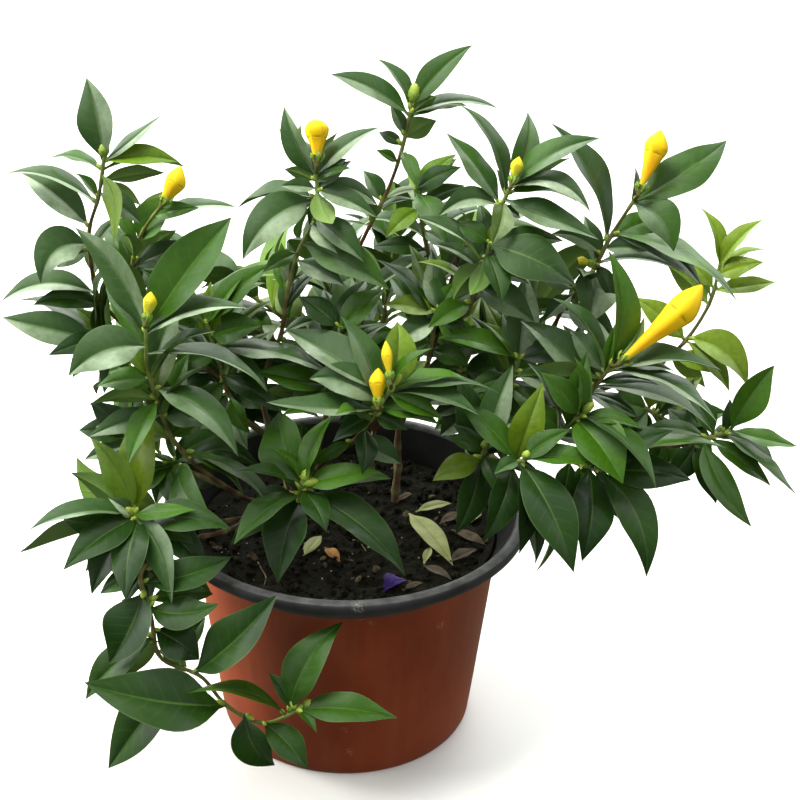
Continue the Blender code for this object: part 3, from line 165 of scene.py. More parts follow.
# Shoots that the reference view shows. A point is its pixel and how far behind it stands.
# A leaf is the pixel it grows from, its tip's pixel, its width in pixels, its lean toward the eye in degrees
# and the side that shows, then for a leaf that curves across the view the pixel of its middle.
# A bud is its foot's pixel, its tip's pixel, its width in pixels and its colour.
# The last number of a shoot is how many more leaves it gets by rule.
SHOOTS = (
    Shoot(
        "left_crown", "wood_left",
        ((262, 400, 5), (215, 372, 12), (160, 348, 14), (105, 310, 6)),
        ((97, 290, 5), (91, 265, 4), (88, 240, 3), (93, 215, 2), (98, 200, 1), (104, 158, 0)),
        ((98, 160, 86, 77, 34, 0, TOP, 97, 120), (106, 158, 163, 112, 11, 0, TOP, 136, 136),
         (104, 162, 180, 162, 20, 10, TOP, 143, 156), (103, 180, 192, 168, 16, 10, UNDER, 150, 172),
         (101, 192, 142, 224, 22, 0, TOP), (100, 170, 48, 158, 10, -25, TOP), (98, 200, 3, 172, 14, 0, TOP),
         (91, 228, 20, 172, 30, -10, TOP), (102, 172, 113, 245, 17, 15, TOP, 115, 210),
         (88, 245, 41, 284, 38, 16, TOP, 63, 244), (97, 292, 0, 302, 20, 0, TOP, 44, 283),
         (103, 306, 32, 305, 22, 12, TOP, 70, 298)),
        ((104, 156, 104, 140, 11, "green"),), 5,
    ),
    Shoot(
        "left_fan", "wood_left",
        ((160, 348, 14), (145, 352, 8), (128, 350, 2)),
        ((112, 345, -2), (98, 338, -5)),
        ((98, 338, 1, 316, 32, 5, TOP, 48, 328), (100, 340, 15, 300, 16, -20, TOP),
         (106, 343, 48, 355, 22, 25, TOP)),
        (), 4,
    ),
    Shoot(
        "left_second", "wood_left",
        ((215, 372, 12), (185, 345, 28), (150, 325, 36)),
        ((140, 300, 36), (132, 262, 33), (138, 240, 31), (152, 220, 29), (161, 206, 28)),
        ((134, 245, 175, 195, 30, 0, TOP), (155, 216, 238, 206, 12, 0, TOP, 194, 206),
         (133, 262, 177, 230, 18, 10, UNDER), (135, 268, 200, 245, 24, 10, TOP),
         (136, 243, 118, 195, 14, -10, TOP), (140, 235, 165, 190, 14, 0, UNDER)),
        ((163, 203, 184, 168, 21, "yellow"),), 5,
    ),
    Shoot(
        "left_bud", "wood_left",
        ((290, 490, -5), (262, 502, -16), (228, 488, -26), (195, 465, -32)),
        ((180, 450, -34), (165, 425, -36), (157, 400, -38), (150, 385, -39), (147, 365, -40),
         (146, 326, -40)),
        ((143, 330, 73, 228, 30, -8, TOP, 113, 268), (148, 328, 232, 216, 48, -8, TOP, 192, 264),
         (148, 335, 248, 308, 20, 10, TOP, 198, 309), (146, 345, 67, 376, 44, 12, TOP, 108, 349),
         (155, 390, 241, 456, 30, 20, TOP, 203, 409), (155, 405, 128, 465, 22, 25, TOP),
         (155, 400, 88, 405, 16, 10, UNDER), (160, 412, 88, 437, 24, 15, TOP),
         (150, 352, 271, 388, 15, 5, TOP, 215, 358), (152, 390, 108, 372, 20, 0, TOP),
         (188, 458, 277, 518, 14, 5, TOP, 240, 472), (162, 414, 214, 424, 22, 10, TOP)),
        ((146, 320, 152, 292, 14, "yellow"),), 5,
    ),
    Shoot(
        "left_inner", "wood_left",
        ((272, 440, 0), (245, 420, -3), (230, 400, -4)),
        ((222, 372, -6), (213, 345, -8), (206, 322, -9)),
        ((208, 324, 275, 262, 26, 0, TOP), (206, 322, 258, 264, 16, -20, TOP),
         (212, 340, 262, 325, 30, 20, TOP), (215, 348, 340, 377, 20, 10, TOP, 285, 354),
         (216, 353, 268, 392, 16, 25, TOP), (218, 360, 170, 368, 22, 10, TOP),
         (224, 378, 280, 412, 24, 20, TOP), (226, 385, 190, 425, 22, 25, TOP),
         (207, 324, 178, 275, 20, -15, TOP)),
        (), 3,
    ),
    Shoot(
        "centre_left_bud", "wood_left",
        ((262, 400, 5), (266, 372, 2), (277, 345, 0)),
        ((285, 320, 1), (287, 300, 2), (290, 275, 3), (297, 255, 4), (305, 240, 5), (312, 225, 5),
         (318, 205, 5), (316, 172, 5)),
        ((315, 174, 284, 106, 22, 0, TOP), (315, 180, 276, 127, 18, -15, TOP),
         (317, 176, 381, 127, 18, 0, TOP), (316, 178, 338, 132, 14, -25, UNDER),
         (317, 180, 347, 158, 18, 15, TOP), (316, 184, 284, 169, 14, 15, UNDER),
         (317, 190, 280, 186, 14, 5, TOP), (317, 192, 333, 225, 22, 35, UNDER),
         (317, 188, 378, 218, 20, 10, TOP), (316, 203, 242, 260, 40, 5, TOP, 272, 218),
         (316, 200, 237, 208, 12, -15, TOP), (298, 252, 262, 272, 16, 20, TOP),
         (291, 278, 281, 242, 12, 0, UNDER), (312, 225, 338, 254, 24, 25, TOP),
         (314, 218, 364, 262, 26, 10, TOP), (297, 258, 345, 286, 22, 20, TOP),
         (305, 242, 390, 290, 35, 10, TOP), (316, 192, 378, 206, 20, 0, TOP, 350, 188),
         (317, 188, 352, 160, 14, 0, TOP)),
        ((317, 160, 317, 120, 24, "yellow"),), 3,
    ),
    Shoot(
        "top", "wood_centre",
        ((402, 405, 22), (378, 360, 30), (358, 310, 32), (352, 275, 32), (355, 255, 31)),
        ((362, 243, 31), (370, 225, 31), (380, 207, 32), (392, 180, 33), (400, 158, 34), (404, 140, 35),
         (408, 120, 35), (412, 104, 35)),
        ((412, 106, 473, 44, 25, 0, TOP), (411, 108, 377, 58, 12, -10, TOP),
         (408, 118, 330, 74, 22, 0, TOP), (409, 118, 500, 107, 12, 0, TOP),
         (410, 112, 437, 96, 14, 25, UNDER), (405, 140, 437, 120, 22, 10, UNDER),
         (402, 150, 378, 132, 12, -10, TOP), (400, 160, 376, 150, 10, 10, TOP),
         (401, 156, 418, 190, 15, 25, TOP), (383, 200, 363, 170, 18, 0, TOP),
         (407, 114, 468, 106, 13, 0, TOP, 436, 105)),
        ((412, 102, 418, 80, 12, "green"),), 4,
    ),
    Shoot(
        "top_middle", "wood_centre",
        ((398, 430, 22), (412, 380, 32), (428, 320, 34), (436, 280, 32), (430, 262, 30)),
        ((425, 235, 28), (418, 210, 26), (415, 188, 25)),
        ((415, 190, 457, 153, 20, 0, TOP), (416, 195, 446, 245, 26, 30, TOP),
         (416, 190, 404, 150, 14, -15, UNDER), (418, 205, 385, 238, 20, 15, TOP),
         (418, 202, 466, 185, 16, 0, TOP), (425, 232, 470, 262, 22, 20, TOP),
         (427, 258, 360, 297, 14, 5, TOP, 397, 272), (429, 250, 372, 247, 18, -10, TOP),
         (421, 200, 457, 158, 20, 0, TOP)),
        (), 3,
    ),
    Shoot(
        "right_centre_bud", "wood_centre",
        ((398, 430, 22), (420, 385, 18), (440, 325, 16), (450, 285, 15), (455, 262, 15)),
        ((460, 250, 14), (475, 242, 12), (482, 235, 10), (490, 225, 9), (498, 210, 8), (505, 195, 6),
         (511, 186, 5)),
        ((506, 194, 460, 102, 15, 0, TOP, 491, 139), (500, 207, 446, 132, 22, -5, TOP, 475, 165),
         (509, 188, 528, 111, 27, -15, TOP, 526, 150), (510, 187, 601, 137, 22, 0, TOP),
         (508, 191, 592, 212, 18, 10, TOP, 550, 180), (500, 208, 438, 217, 20, 10, TOP, 466, 199),
         (503, 200, 492, 245, 24, 35, TOP), (503, 202, 600, 238, 25, 10, TOP, 556, 220)),
        ((512, 182, 520, 157, 13, "yellow"),), 3,
    ),
    Shoot(
        "right_middle", "wood_centre",
        ((440, 325, 16), (458, 322, 8), (470, 310, 3)),
        ((478, 285, 0), (486, 260, -3), (490, 242, -5)),
        ((490, 244, 578, 285, 45, 15, TOP), (490, 243, 565, 240, 24, -5, TOP),
         (487, 256, 470, 296, 20, 30, UNDER), (485, 262, 452, 300, 22, 20, UNDER),
         (488, 252, 502, 304, 25, 30, TOP), (478, 288, 535, 322, 30, 15, TOP),
         (474, 300, 428, 328, 22, 15, TOP), (490, 243, 455, 222, 20, -10, TOP)),
        (), 4,
    ),
    Shoot(
        "upper_right_bud", "wood_right",
        ((520, 425, 5), (535, 385, 12), (548, 340, 12), (560, 312, 10)),
        ((570, 300, 10), (590, 275, 10), (595, 268, 10), (603, 255, 10), (608, 240, 9), (618, 228, 8),
         (628, 212, 7), (635, 199, 6)),
        ((634, 201, 727, 140, 40, -12, TOP, 686, 171), (632, 205, 634, 165, 8, -20, TOP),
         (633, 202, 674, 252, 34, 15, TOP, 657, 214), (612, 237, 740, 301, 18, 10, TOP, 674, 249),
         (608, 240, 551, 122, 22, 0, TOP, 592, 178), (612, 236, 665, 218, 24, -10, TOP),
         (606, 248, 655, 250, 18, 15, TOP), (600, 262, 686, 274, 12, 10, TOP),
         (597, 265, 584, 215, 18, -10, TOP), (593, 270, 588, 325, 40, 25, TOP),
         (576, 294, 520, 262, 24, 5, TOP), (568, 303, 618, 342, 28, 20, TOP),
         (612, 238, 704, 288, 22, 0, TOP, 664, 250)),
        ((640, 190, 663, 132, 24, "yellow"), (594, 265, 577, 259, 9, "yellow_small")), 3,
    ),
    Shoot(
        "big_bud", "wood_right",
        ((520, 425, 5), (548, 416, -10), (580, 400, -25)),
        ((590, 392, -27), (600, 378, -30), (611, 366, -33)),
        ((609, 368, 608, 250, 24, 0, TOP, 622, 312), (609, 369, 722, 370, 20, 10, TOP),
         (606, 372, 718, 422, 16, 15, TOP, 668, 382), (598, 382, 660, 384, 12, 20, TOP),
         (594, 388, 715, 430, 18, -5, TOP), (592, 390, 520, 319, 30, -5, TOP),
         (598, 380, 513, 375, 20, 10, UNDER), (604, 374, 570, 330, 26, -15, TOP)),
        ((622, 361, 706, 290, 30, "yellow"),), 3,
    ),
    Shoot(
        "far_right_fresh", "wood_right",
        ((520, 425, 5), (560, 405, 25), (615, 385, 38), (668, 362, 44)),
        ((680, 350, 46), (690, 335, 48), (700, 322, 50), (710, 302, 50), (716, 285, 50), (720, 264, 50)),
        ((719, 268, 700, 206, 14, 0, TOP, 716, 232), (720, 267, 764, 219, 16, 0, TOP),
         (719, 270, 768, 248, 10, -5, TOP), (718, 277, 764, 262, 20, 15, TOP),
         (715, 288, 777, 281, 17, 0, TOP, 745, 286), (714, 290, 684, 258, 16, 0, TOP),
         (708, 305, 668, 266, 24, 10, UNDER), (690, 335, 748, 386, 30, 15, TOP, 726, 352),
         (672, 358, 722, 374, 18, 0, TOP), (688, 338, 634, 297, 26, 0, TOP)),
        (), 0,
    ),
    Shoot(
        "far_right_low", "wood_right",
        ((520, 425, 5), (575, 432, 8), (635, 445, 2), (690, 445, -3)),
        ((705, 441, -4), (720, 436, -5), (731, 430, -6)),
        ((729, 431, 775, 365, 31, 0, TOP, 749, 398), (730, 431, 798, 446, 16, 0, TOP, 766, 439),
         (722, 436, 798, 495, 12, 15, TOP, 765, 466), (700, 442, 753, 527, 26, 20, TOP, 720, 483),
         (704, 441, 640, 430, 14, 0, TOP), (716, 437, 688, 392, 20, -10, TOP),
         (720, 436, 780, 478, 14, -15, TOP, 760, 452), (708, 440, 772, 486, 20, 10, TOP),
         (694, 445, 716, 504, 26, 0, TOP), (726, 433, 730, 398, 12, 0, TOP),
         (700, 443, 664, 484, 26, 10, TOP), (692, 445, 668, 408, 24, -10, TOP)),
        (), 0,
    ),
    Shoot(
        "right_inner_low", "wood_right",
        ((490, 450, 8), (512, 451, -10), (530, 446, -21), (545, 440, -30)),
        ((558, 434, -35), (570, 428, -40), (577, 420, -44), (582, 414, -47)),
        ((578, 420, 623, 484, 45, 25, TOP), (580, 417, 658, 488, 18, 20, TOP),
         (580, 416, 540, 372, 25, 10, TOP), (568, 429, 600, 420, 14, 30, TOP),
         (560, 433, 530, 405, 20, 0, TOP)),
        ((583, 412, 594, 402, 9, "green"),), 3,
    ),
    Shoot(
        "right_inner", "wood_right",
        ((490, 450, 8), (500, 420, 0), (505, 400, -4)),
        ((512, 382, -7), (520, 358, -10)),
        ((519, 361, 437, 337, 20, 0, TOP), (519, 360, 575, 345, 24, 0, TOP),
         (515, 372, 565, 398, 20, 20, TOP), (514, 376, 462, 395, 18, 15, TOP),
         (518, 362, 502, 312, 22, -10, TOP), (509, 390, 465, 425, 20, 20, TOP),
         (510, 388, 552, 425, 22, 15, TOP)),
        (), 4,
    ),
    Shoot(
        "front_right", "wood_right",
        ((490, 450, 8), (492, 455, -8), (496, 460, -28)),
        ((505, 463, -42), (514, 463, -52), (524, 460, -62)),
        ((523, 461, 603, 465, 20, 5, TOP, 562, 457), (519, 462, 494, 474, 14, 30, TOP),
         (520, 462, 520, 556, 22, 0, TOP), (512, 464, 483, 543, 32, 20, TOP),
         (518, 463, 574, 573, 45, 15, TOP), (520, 462, 536, 573, 12, -10, TOP),
         (516, 463, 458, 402, 25, -5, TOP)),
        ((525, 459, 528, 450, 9, "green"),), 2,
    ),
    Shoot(
        "right_hanging", "wood_right",
        ((530, 446, -21), (545, 452, -33), (560, 457, -41)),
        ((575, 462, -45), (590, 468, -48), (602, 472, -50)),
        ((588, 468, 582, 562, 40, 20, TOP, 592, 512), (600, 472, 647, 578, 36, 15, TOP, 637, 516),
         (597, 471, 632, 530, 26, -15, TOP), (601, 472, 692, 480, 34, 0, TOP),
         (595, 470, 728, 447, 14, -8, TOP), (572, 461, 552, 520, 26, 10, TOP)),
        (), 2,
    ),
    Shoot(
        "front_middle", "wood_right",
        ((470, 480, 10), (474, 480, -4), (478, 473, -18)),
        ((481, 462, -32), (484, 450, -43)),
        ((482, 458, 432, 481, 25, 15, TOP), (482, 460, 455, 535, 30, 20, TOP),
         (484, 452, 512, 422, 14, 0, TOP), (483, 455, 506, 505, 24, 25, TOP),
         (484, 452, 452, 424, 14, -5, TOP)),
        ((484, 448, 485, 440, 8, "green"),), 2,
    ),
    Shoot(
        "centre_buds", "wood_left",
        ((290, 490, -5), (312, 472, -20), (332, 455, -30), (350, 445, -35)),
        ((358, 440, -37), (365, 425, -39), (380, 410, -42), (391, 388, -45)),
        ((390, 390, 398, 320, 35, -15, TOP), (390, 390, 432, 348, 10, -10, TOP),
         (390, 391, 470, 378, 14, 0, TOP), (388, 395, 500, 392, 14, 5, TOP),
         (386, 398, 480, 415, 16, 10, TOP), (380, 411, 266, 402, 20, 5, TOP, 325, 408),
         (374, 416, 332, 442, 18, 15, TOP), (380, 410, 440, 424, 18, 15, TOP),
         (384, 402, 308, 378, 34, -5, TOP, 345, 380), (387, 394, 283, 327, 36, -24, TOP, 343, 342),
         (364, 428, 362, 475, 22, 25, TOP), (352, 443, 402, 464, 24, -10, TOP)),
        ((390, 378, 385, 341, 11, "yellow"), (378, 404, 377, 368, 17, "yellow"),
         (392, 386, 402, 374, 7, "green")), 2,
    ),
    Shoot(
        "centre_high", "wood_centre",
        ((420, 385, 18), (425, 375, 12), (428, 362, 8)),
        ((431, 345, 6), (435, 325, 4), (439, 309, 3)),
        ((438, 312, 383, 305, 19, 10, TOP, 410, 305), (438, 311, 466, 328, 16, 25, TOP),
         (436, 322, 392, 348, 24, 20, TOP), (436, 320, 482, 352, 24, 20, TOP),
         (438, 311, 424, 272, 20, -10, TOP), (438, 312, 486, 290, 22, 0, TOP),
         (431, 343, 385, 368, 26, 15, TOP), (430, 350, 470, 366, 20, 15, TOP)),
        (), 3,
    ),
    Shoot(
        "centre_left", "wood_left",
        ((312, 472, -20), (320, 440, -18), (328, 405, -15)),
        ((334, 375, -14), (338, 348, -13), (340, 326, -12)),
        ((339, 330, 298, 296, 24, 0, TOP), (340, 330, 386, 288, 26, 0, TOP),
         (337, 352, 382, 396, 24, 20, TOP), (332, 384, 286, 410, 24, 15, TOP),
         (333, 380, 366, 430, 24, 20, TOP)),
        (), 4,
    ),
    Shoot(
        "left_deep", "wood_left",
        ((272, 440, 0), (255, 425, 18), (238, 408, 28)),
        ((225, 388, 32), (212, 368, 34), (205, 352, 34)),
        ((206, 355, 250, 330, 26, 0, TOP), (206, 355, 165, 330, 26, 0, TOP),
         (212, 368, 262, 372, 28, 10, TOP), (214, 370, 172, 392, 28, 10, TOP),
         (228, 392, 290, 432, 30, 10, TOP), (228, 392, 196, 436, 28, 15, TOP),
         (206, 354, 214, 300, 22, -10, TOP), (238, 408, 300, 398, 20, 0, TOP),
         (224, 386, 314, 368, 30, 0, TOP, 270, 362), (237, 407, 248, 450, 24, 10, TOP),
         (232, 398, 322, 418, 22, -5, TOP)),
        (), 0,
    ),
    Shoot(
        "left_low_deep", "wood_left",
        ((228, 488, -26), (205, 478, -18), (185, 470, -14)),
        ((165, 460, -11), (145, 448, -9), (125, 436, -8)),
        ((127, 437, 90, 402, 26, 0, TOP), (127, 437, 78, 430, 24, 10, TOP),
         (146, 449, 178, 402, 28, 0, TOP), (146, 449, 112, 486, 28, 15, TOP),
         (174, 465, 226, 430, 26, -5, TOP), (166, 461, 190, 512, 30, 20, TOP),
         (183, 469, 222, 540, 34, 25, TOP), (172, 464, 246, 500, 30, 10, TOP),
         (126, 436, 140, 385, 24, -10, TOP), (184, 469, 262, 470, 24, 0, TOP, 224, 458),
         (172, 464, 132, 496, 26, 5, TOP)),
        (), 0,
    ),
    Shoot(
        "right_deep", "wood_right",
        ((615, 385, 38), (628, 392, 34), (640, 404, 30)),
        ((652, 413, 29), (664, 421, 28), (678, 427, 27)),
        ((677, 427, 728, 412, 22, 0, TOP), (664, 421, 702, 376, 28, 0, TOP),
         (646, 408, 604, 402, 26, 0, TOP), (664, 421, 650, 474, 30, 15, TOP),
         (654, 414, 690, 394, 22, 0, TOP), (677, 427, 712, 462, 26, 15, TOP),
         (646, 408, 655, 358, 26, -10, TOP), (648, 410, 606, 448, 30, 10, TOP)),
        (), 0,
    ),
    Shoot(
        "centre_deep", "wood_centre",
        ((398, 430, 22), (388, 412, 32), (380, 398, 38)),
        ((368, 378, 41), (355, 358, 43), (345, 342, 44)),
        ((346, 345, 300, 318, 28, 0, TOP), (346, 345, 395, 330, 26, 0, TOP),
         (354, 357, 312, 352, 28, 5, TOP), (354, 357, 412, 362, 28, 5, TOP),
         (364, 372, 320, 390, 30, 10, TOP), (364, 372, 410, 395, 28, 10, TOP),
         (376, 391, 330, 418, 28, 10, TOP), (376, 391, 430, 412, 28, 5, TOP),
         (346, 345, 344, 298, 26, -5, TOP)),
        (), 0,
    ),
    Shoot(
        "right_centre_deep", "wood_right",
        ((490, 450, 8), (486, 430, 22), (480, 412, 30)),
        ((472, 392, 34), (462, 372, 36), (452, 352, 37)),
        ((453, 355, 405, 340, 26, 0, TOP), (453, 355, 500, 332, 28, 0, TOP),
         (461, 370, 420, 378, 28, 5, TOP), (461, 370, 515, 368, 28, 5, TOP),
         (470, 388, 425, 405, 28, 10, TOP), (470, 388, 522, 398, 28, 10, TOP),
         (478, 407, 440, 436, 28, 10, TOP), (478, 407, 535, 428, 28, 5, TOP),
         (453, 354, 450, 312, 26, -5, TOP)),
        (), 0,
    ),
    Shoot(
        "front_left", "wood_left",
        ((290, 490, -5), (296, 502, -20), (300, 500, -34)),
        ((302, 493, -42), (304, 484, -50)),
        ((304, 486, 334, 414, 18, 0, TOP), (304, 487, 326, 447, 12, 12, TOP),
         (303, 488, 381, 472, 24, 10, TOP), (304, 486, 265, 445, 10, 5, TOP),
         (301, 495, 278, 583, 40, 20, TOP), (302, 492, 408, 575, 35, 12, TOP),
         (302, 490, 327, 532, 25, 35, TOP), (301, 496, 230, 545, 26, 8, TOP),
         (303, 489, 235, 470, 12, 5, TOP), (304, 486, 278, 412, 45, -15, TOP),
         (301, 494, 216, 558, 22, -5, TOP), (299, 500, 248, 512, 30, -15, TOP)),
        ((304, 482, 309, 466, 10, "green"), (304, 484, 320, 480, 9, "green")), 0,
    ),
    Shoot(
        "low_left_rosette", "wood_left",
        ((290, 490, -5), (262, 512, -18), (218, 522, -36), (170, 522, -52)),
        ((155, 520, -55), (143, 518, -58), (131, 515, -60)),
        ((131, 515, 150, 403, 38, 0, TOP), (131, 515, 90, 438, 28, 0, TOP, 114, 466),
         (132, 515, 77, 456, 35, -12, UNDER, 88, 484), (131, 515, 108, 498, 14, 30, TOP),
         (132, 516, 61, 516, 34, 10, TOP, 92, 523), (134, 516, 196, 509, 16, 20, TOP, 167, 511),
         (136, 517, 170, 605, 28, 20, TOP, 161, 555), (145, 518, 195, 545, 24, 10, TOP),
         (147, 518, 232, 528, 32, 5, TOP), (152, 520, 208, 574, 32, 15, TOP),
         (134, 516, 28, 530, 18, -10, TOP), (136, 517, 18, 553, 14, -18, UNDER, 66, 536),
         (138, 517, 62, 570, 34, 5, TOP), (140, 517, 90, 595, 34, 12, TOP),
         (142, 518, 125, 600, 34, 20, TOP), (150, 519, 150, 606, 30, 5, TOP),
         (160, 521, 176, 600, 26, 0, TOP)),
        ((131, 514, 135, 504, 9, "green"),), 0,
    ),
    Shoot(
        "trailing", "wood_left",
        ((262, 512, -18), (225, 532, -36), (190, 540, -52), (160, 555, -70)),
        ((147, 565, -76), (140, 576, -80), (150, 594, -84), (151, 615, -88), (152, 640, -92),
         (163, 660, -95), (190, 672, -98), (217, 684, -100), (224, 700, -101), (234, 714, -102),
         (262, 723, -102), (290, 715, -102), (303, 707, -102)),
        ((151, 590, 108, 664, 46, 4, TOP, 132, 624), (151, 606, 219, 603, 32, 10, TOP, 188, 613),
         (151, 625, 200, 660, 38, -5, TOP), (152, 642, 84, 700, 30, -15, TOP),
         (226, 704, 84, 682, 58, 12, TOP, 152, 700), (185, 670, 107, 769, 45, -14, TOP, 140, 724),
         (194, 674, 277, 594, 42, 10, TOP, 234, 641), (284, 717, 187, 693, 16, 12, TOP, 238, 690),
         (289, 715, 343, 620, 38, 0, TOP, 307, 662), (298, 710, 322, 665, 10, -5, TOP),
         (301, 708, 398, 718, 30, 5, TOP, 350, 709), (301, 708, 317, 733, 10, 35, TOP),
         (266, 722, 308, 770, 30, 10, TOP), (240, 717, 275, 766, 36, -5, TOP, 253, 745),
         (143, 582, 232, 556, 32, -8, TOP, 194, 573), (147, 566, 212, 592, 28, 0, TOP),
         (160, 655, 187, 667, 16, 10, UNDER), (150, 600, 240, 590, 26, -20, TOP),
         (296, 712, 268, 672, 16, -10, TOP)),
        ((304, 706, 312, 700, 9, "green"),), 0,
    ),
)

# Shoots behind, which the view hides: name, bearing in degrees, reach and height of the tip in mm, leaves
BACK_SHOOTS = (
    ("back_right_low", 12, 116, 172, 8),
    ("back_right", 36, 118, 190, 8),
    ("back_right_high", 50, 84, 232, 8),
    ("back_middle_low", 88, 120, 160, 8),
    ("back_middle", 76, 88, 222, 8),
    ("back_top_left", 118, 56, 236, 8),
    ("back_left_high", 142, 90, 212, 8),
    ("back_left", 116, 118, 190, 8),
    ("back_left_low", 158, 122, 166, 8),
    ("back_far_left", 167, 100, 212, 8),
)

BACK_ARCH = 0.14
FRESH_SHOOT = "far_right_fresh"
SLOTS = {FRESH_SHOOT: "leaf_fresh", **{wood: "bark" for wood in WOODS}}
BACK_SHARES = (0, 0.2, 0.4, 0.6, 0.8, 1)

# The crown's outline as pixels, without the leaf tips that stand out. Leaves placed by rule stay inside it.
CROWN = (
    (58, 342), (40, 302), (85, 268), (100, 222), (125, 212), (150, 238), (195, 252), (222, 264), (252, 262),
    (280, 236), (298, 190), (345, 186), (372, 222), (392, 168), (411, 142), (424, 188), (452, 200),
    (492, 188), (520, 206), (562, 236), (602, 236), (625, 214), (662, 240), (655, 268), (622, 300),
    (650, 345), (690, 345), (728, 392), (742, 440), (700, 458), (690, 482), (640, 488), (600, 500),
    (560, 500), (500, 515), (470, 545), (420, 565), (300, 560), (232, 545), (200, 610), (120, 610),
    (70, 562), (74, 500), (90, 430), (95, 400), (70, 372),
)

# Fallen leaves on the soil: name, pixel of each end, width in mm
LITTER = (
    ("fallen_leaf", 408, 513, 453, 565, 12),
    ("amber_leaf", 325, 548, 340, 562, 6),
    ("violet_petal", 383, 592, 401, 578, 6),
    ("dry_leaf", 452, 530, 486, 545, 7),
    ("dry_curl", 424, 566, 452, 580, 6),
)

# The pot's outline, radius and height in mm: floor inside, inner wall, lip, outer wall, underside
POT_OUTLINE = (
    (0, 1.8), (61.2, 2), (73.2, 97), (75, 104), (84, 118.4), (88.6, 119), (90, 116.8), (88.6, 112.6),
    (84, 111.4), (75, 101), (63.5, 1.6), (62.4, 0), (0, 0),
)
SOIL_OUTLINE = ((0, 103.4), (70, 102.6), (73.8, 101.6), (60.7, 2.4), (0, 2.1))

# A bud's radius as a share of its greatest, along its length
BUD_GREEN = ((0, 0.5), (0.35, 1.0), (0.7, 0.8), (1, 0.0))
BUD_YELLOW = ((0, 0.36), (0.3, 0.62), (0.6, 0.92), (0.76, 1.0), (0.92, 0.6), (1, 0.0))
BUD_SIDES = 6
BUD_STALK_RADIUS = TIP_RADIUS * 0.7
LOWEST_BUD = 0.5
CALYX_LENGTH = 5 * MM
CALYX_BELOW = 0.6
CALYX_ABOVE = 0.4
CALYX_FOOT = 1.1
CALYX_RIM = 1.25
STALK_TOP = 0.8
SIGHT = "sight"
SIGHT_LENGTH = 120 * MM
SIGHT_FROM = 2 * MM
SIGHT_WIDTH = 0.6
BUD_FORWARD = 7 * MM

# Ways to bend a charted leaf off a neighbour: degrees of lean, share of its arch, share of its length
LEAF_TRIES = (
    (0, 1, 1), (7, 1, 1), (-7, 1, 1), (14, 1, 1), (-14, 1, 1), (0, 0.2, 1), (0, 1.8, 1), (21, 1, 1),
    (-21, 1, 1), (28, 1, 1), (-28, 1, 1), (10, 0.2, 0.95), (-10, 0.2, 0.95), (36, 1, 1), (-36, 1, 1),
    (0, 1, 0.86), (16, 1, 0.86), (-16, 1, 0.86), (30, 1, 0.86), (-30, 1, 0.86), (0, 1, 0.72), (20, 1, 0.72),
    (-20, 1, 0.72), (40, 1, 0.8), (-40, 1, 0.8), (0, 1, 0.58), (25, 1, 0.58), (-25, 1, 0.58), (45, 1, 0.6),
    (-45, 1, 0.6),
)
# The same for a leaf placed by rule: degrees round the stem, degrees of rise, share of its length
RULE_TRIES = (
    (0, 0, 1), (14, 0, 1), (-14, 0, 1), (0, 12, 1), (0, -12, 1), (28, 6, 1), (-28, 6, 1), (28, -12, 0.9),
    (-28, -12, 0.9), (0, 24, 0.9), (44, 0, 0.9), (-44, 0, 0.9), (14, 18, 0.78), (-14, 18, 0.78),
    (30, -20, 0.7), (-30, -20, 0.7), (0, 0, 0.6), (50, 20, 0.6), (-50, 20, 0.6),
)

# Fine leaves
LEAF_ROWS = 20
LEAF_COLUMNS = 5
LEAF_SPAN = 0.985
LEAF_THICK = 0.42 * MM
LEAF_STALK = 0.8
STALK_THICK = 0.5 * MM
LEAF_GROOVE = 0.3 * MM
RIB_DEPTH = 0.4 * MM
RIB_WIDTH = 0.1
GROOVE_WIDTH = 0.09
GROOVE_FULL = 3 * MM
ROW_CROWDING = 0.9
STALK_END = 0.1
ROUND_UNTIL = 0.12
EDGE_THIN = 0.75
FILLERS = 13

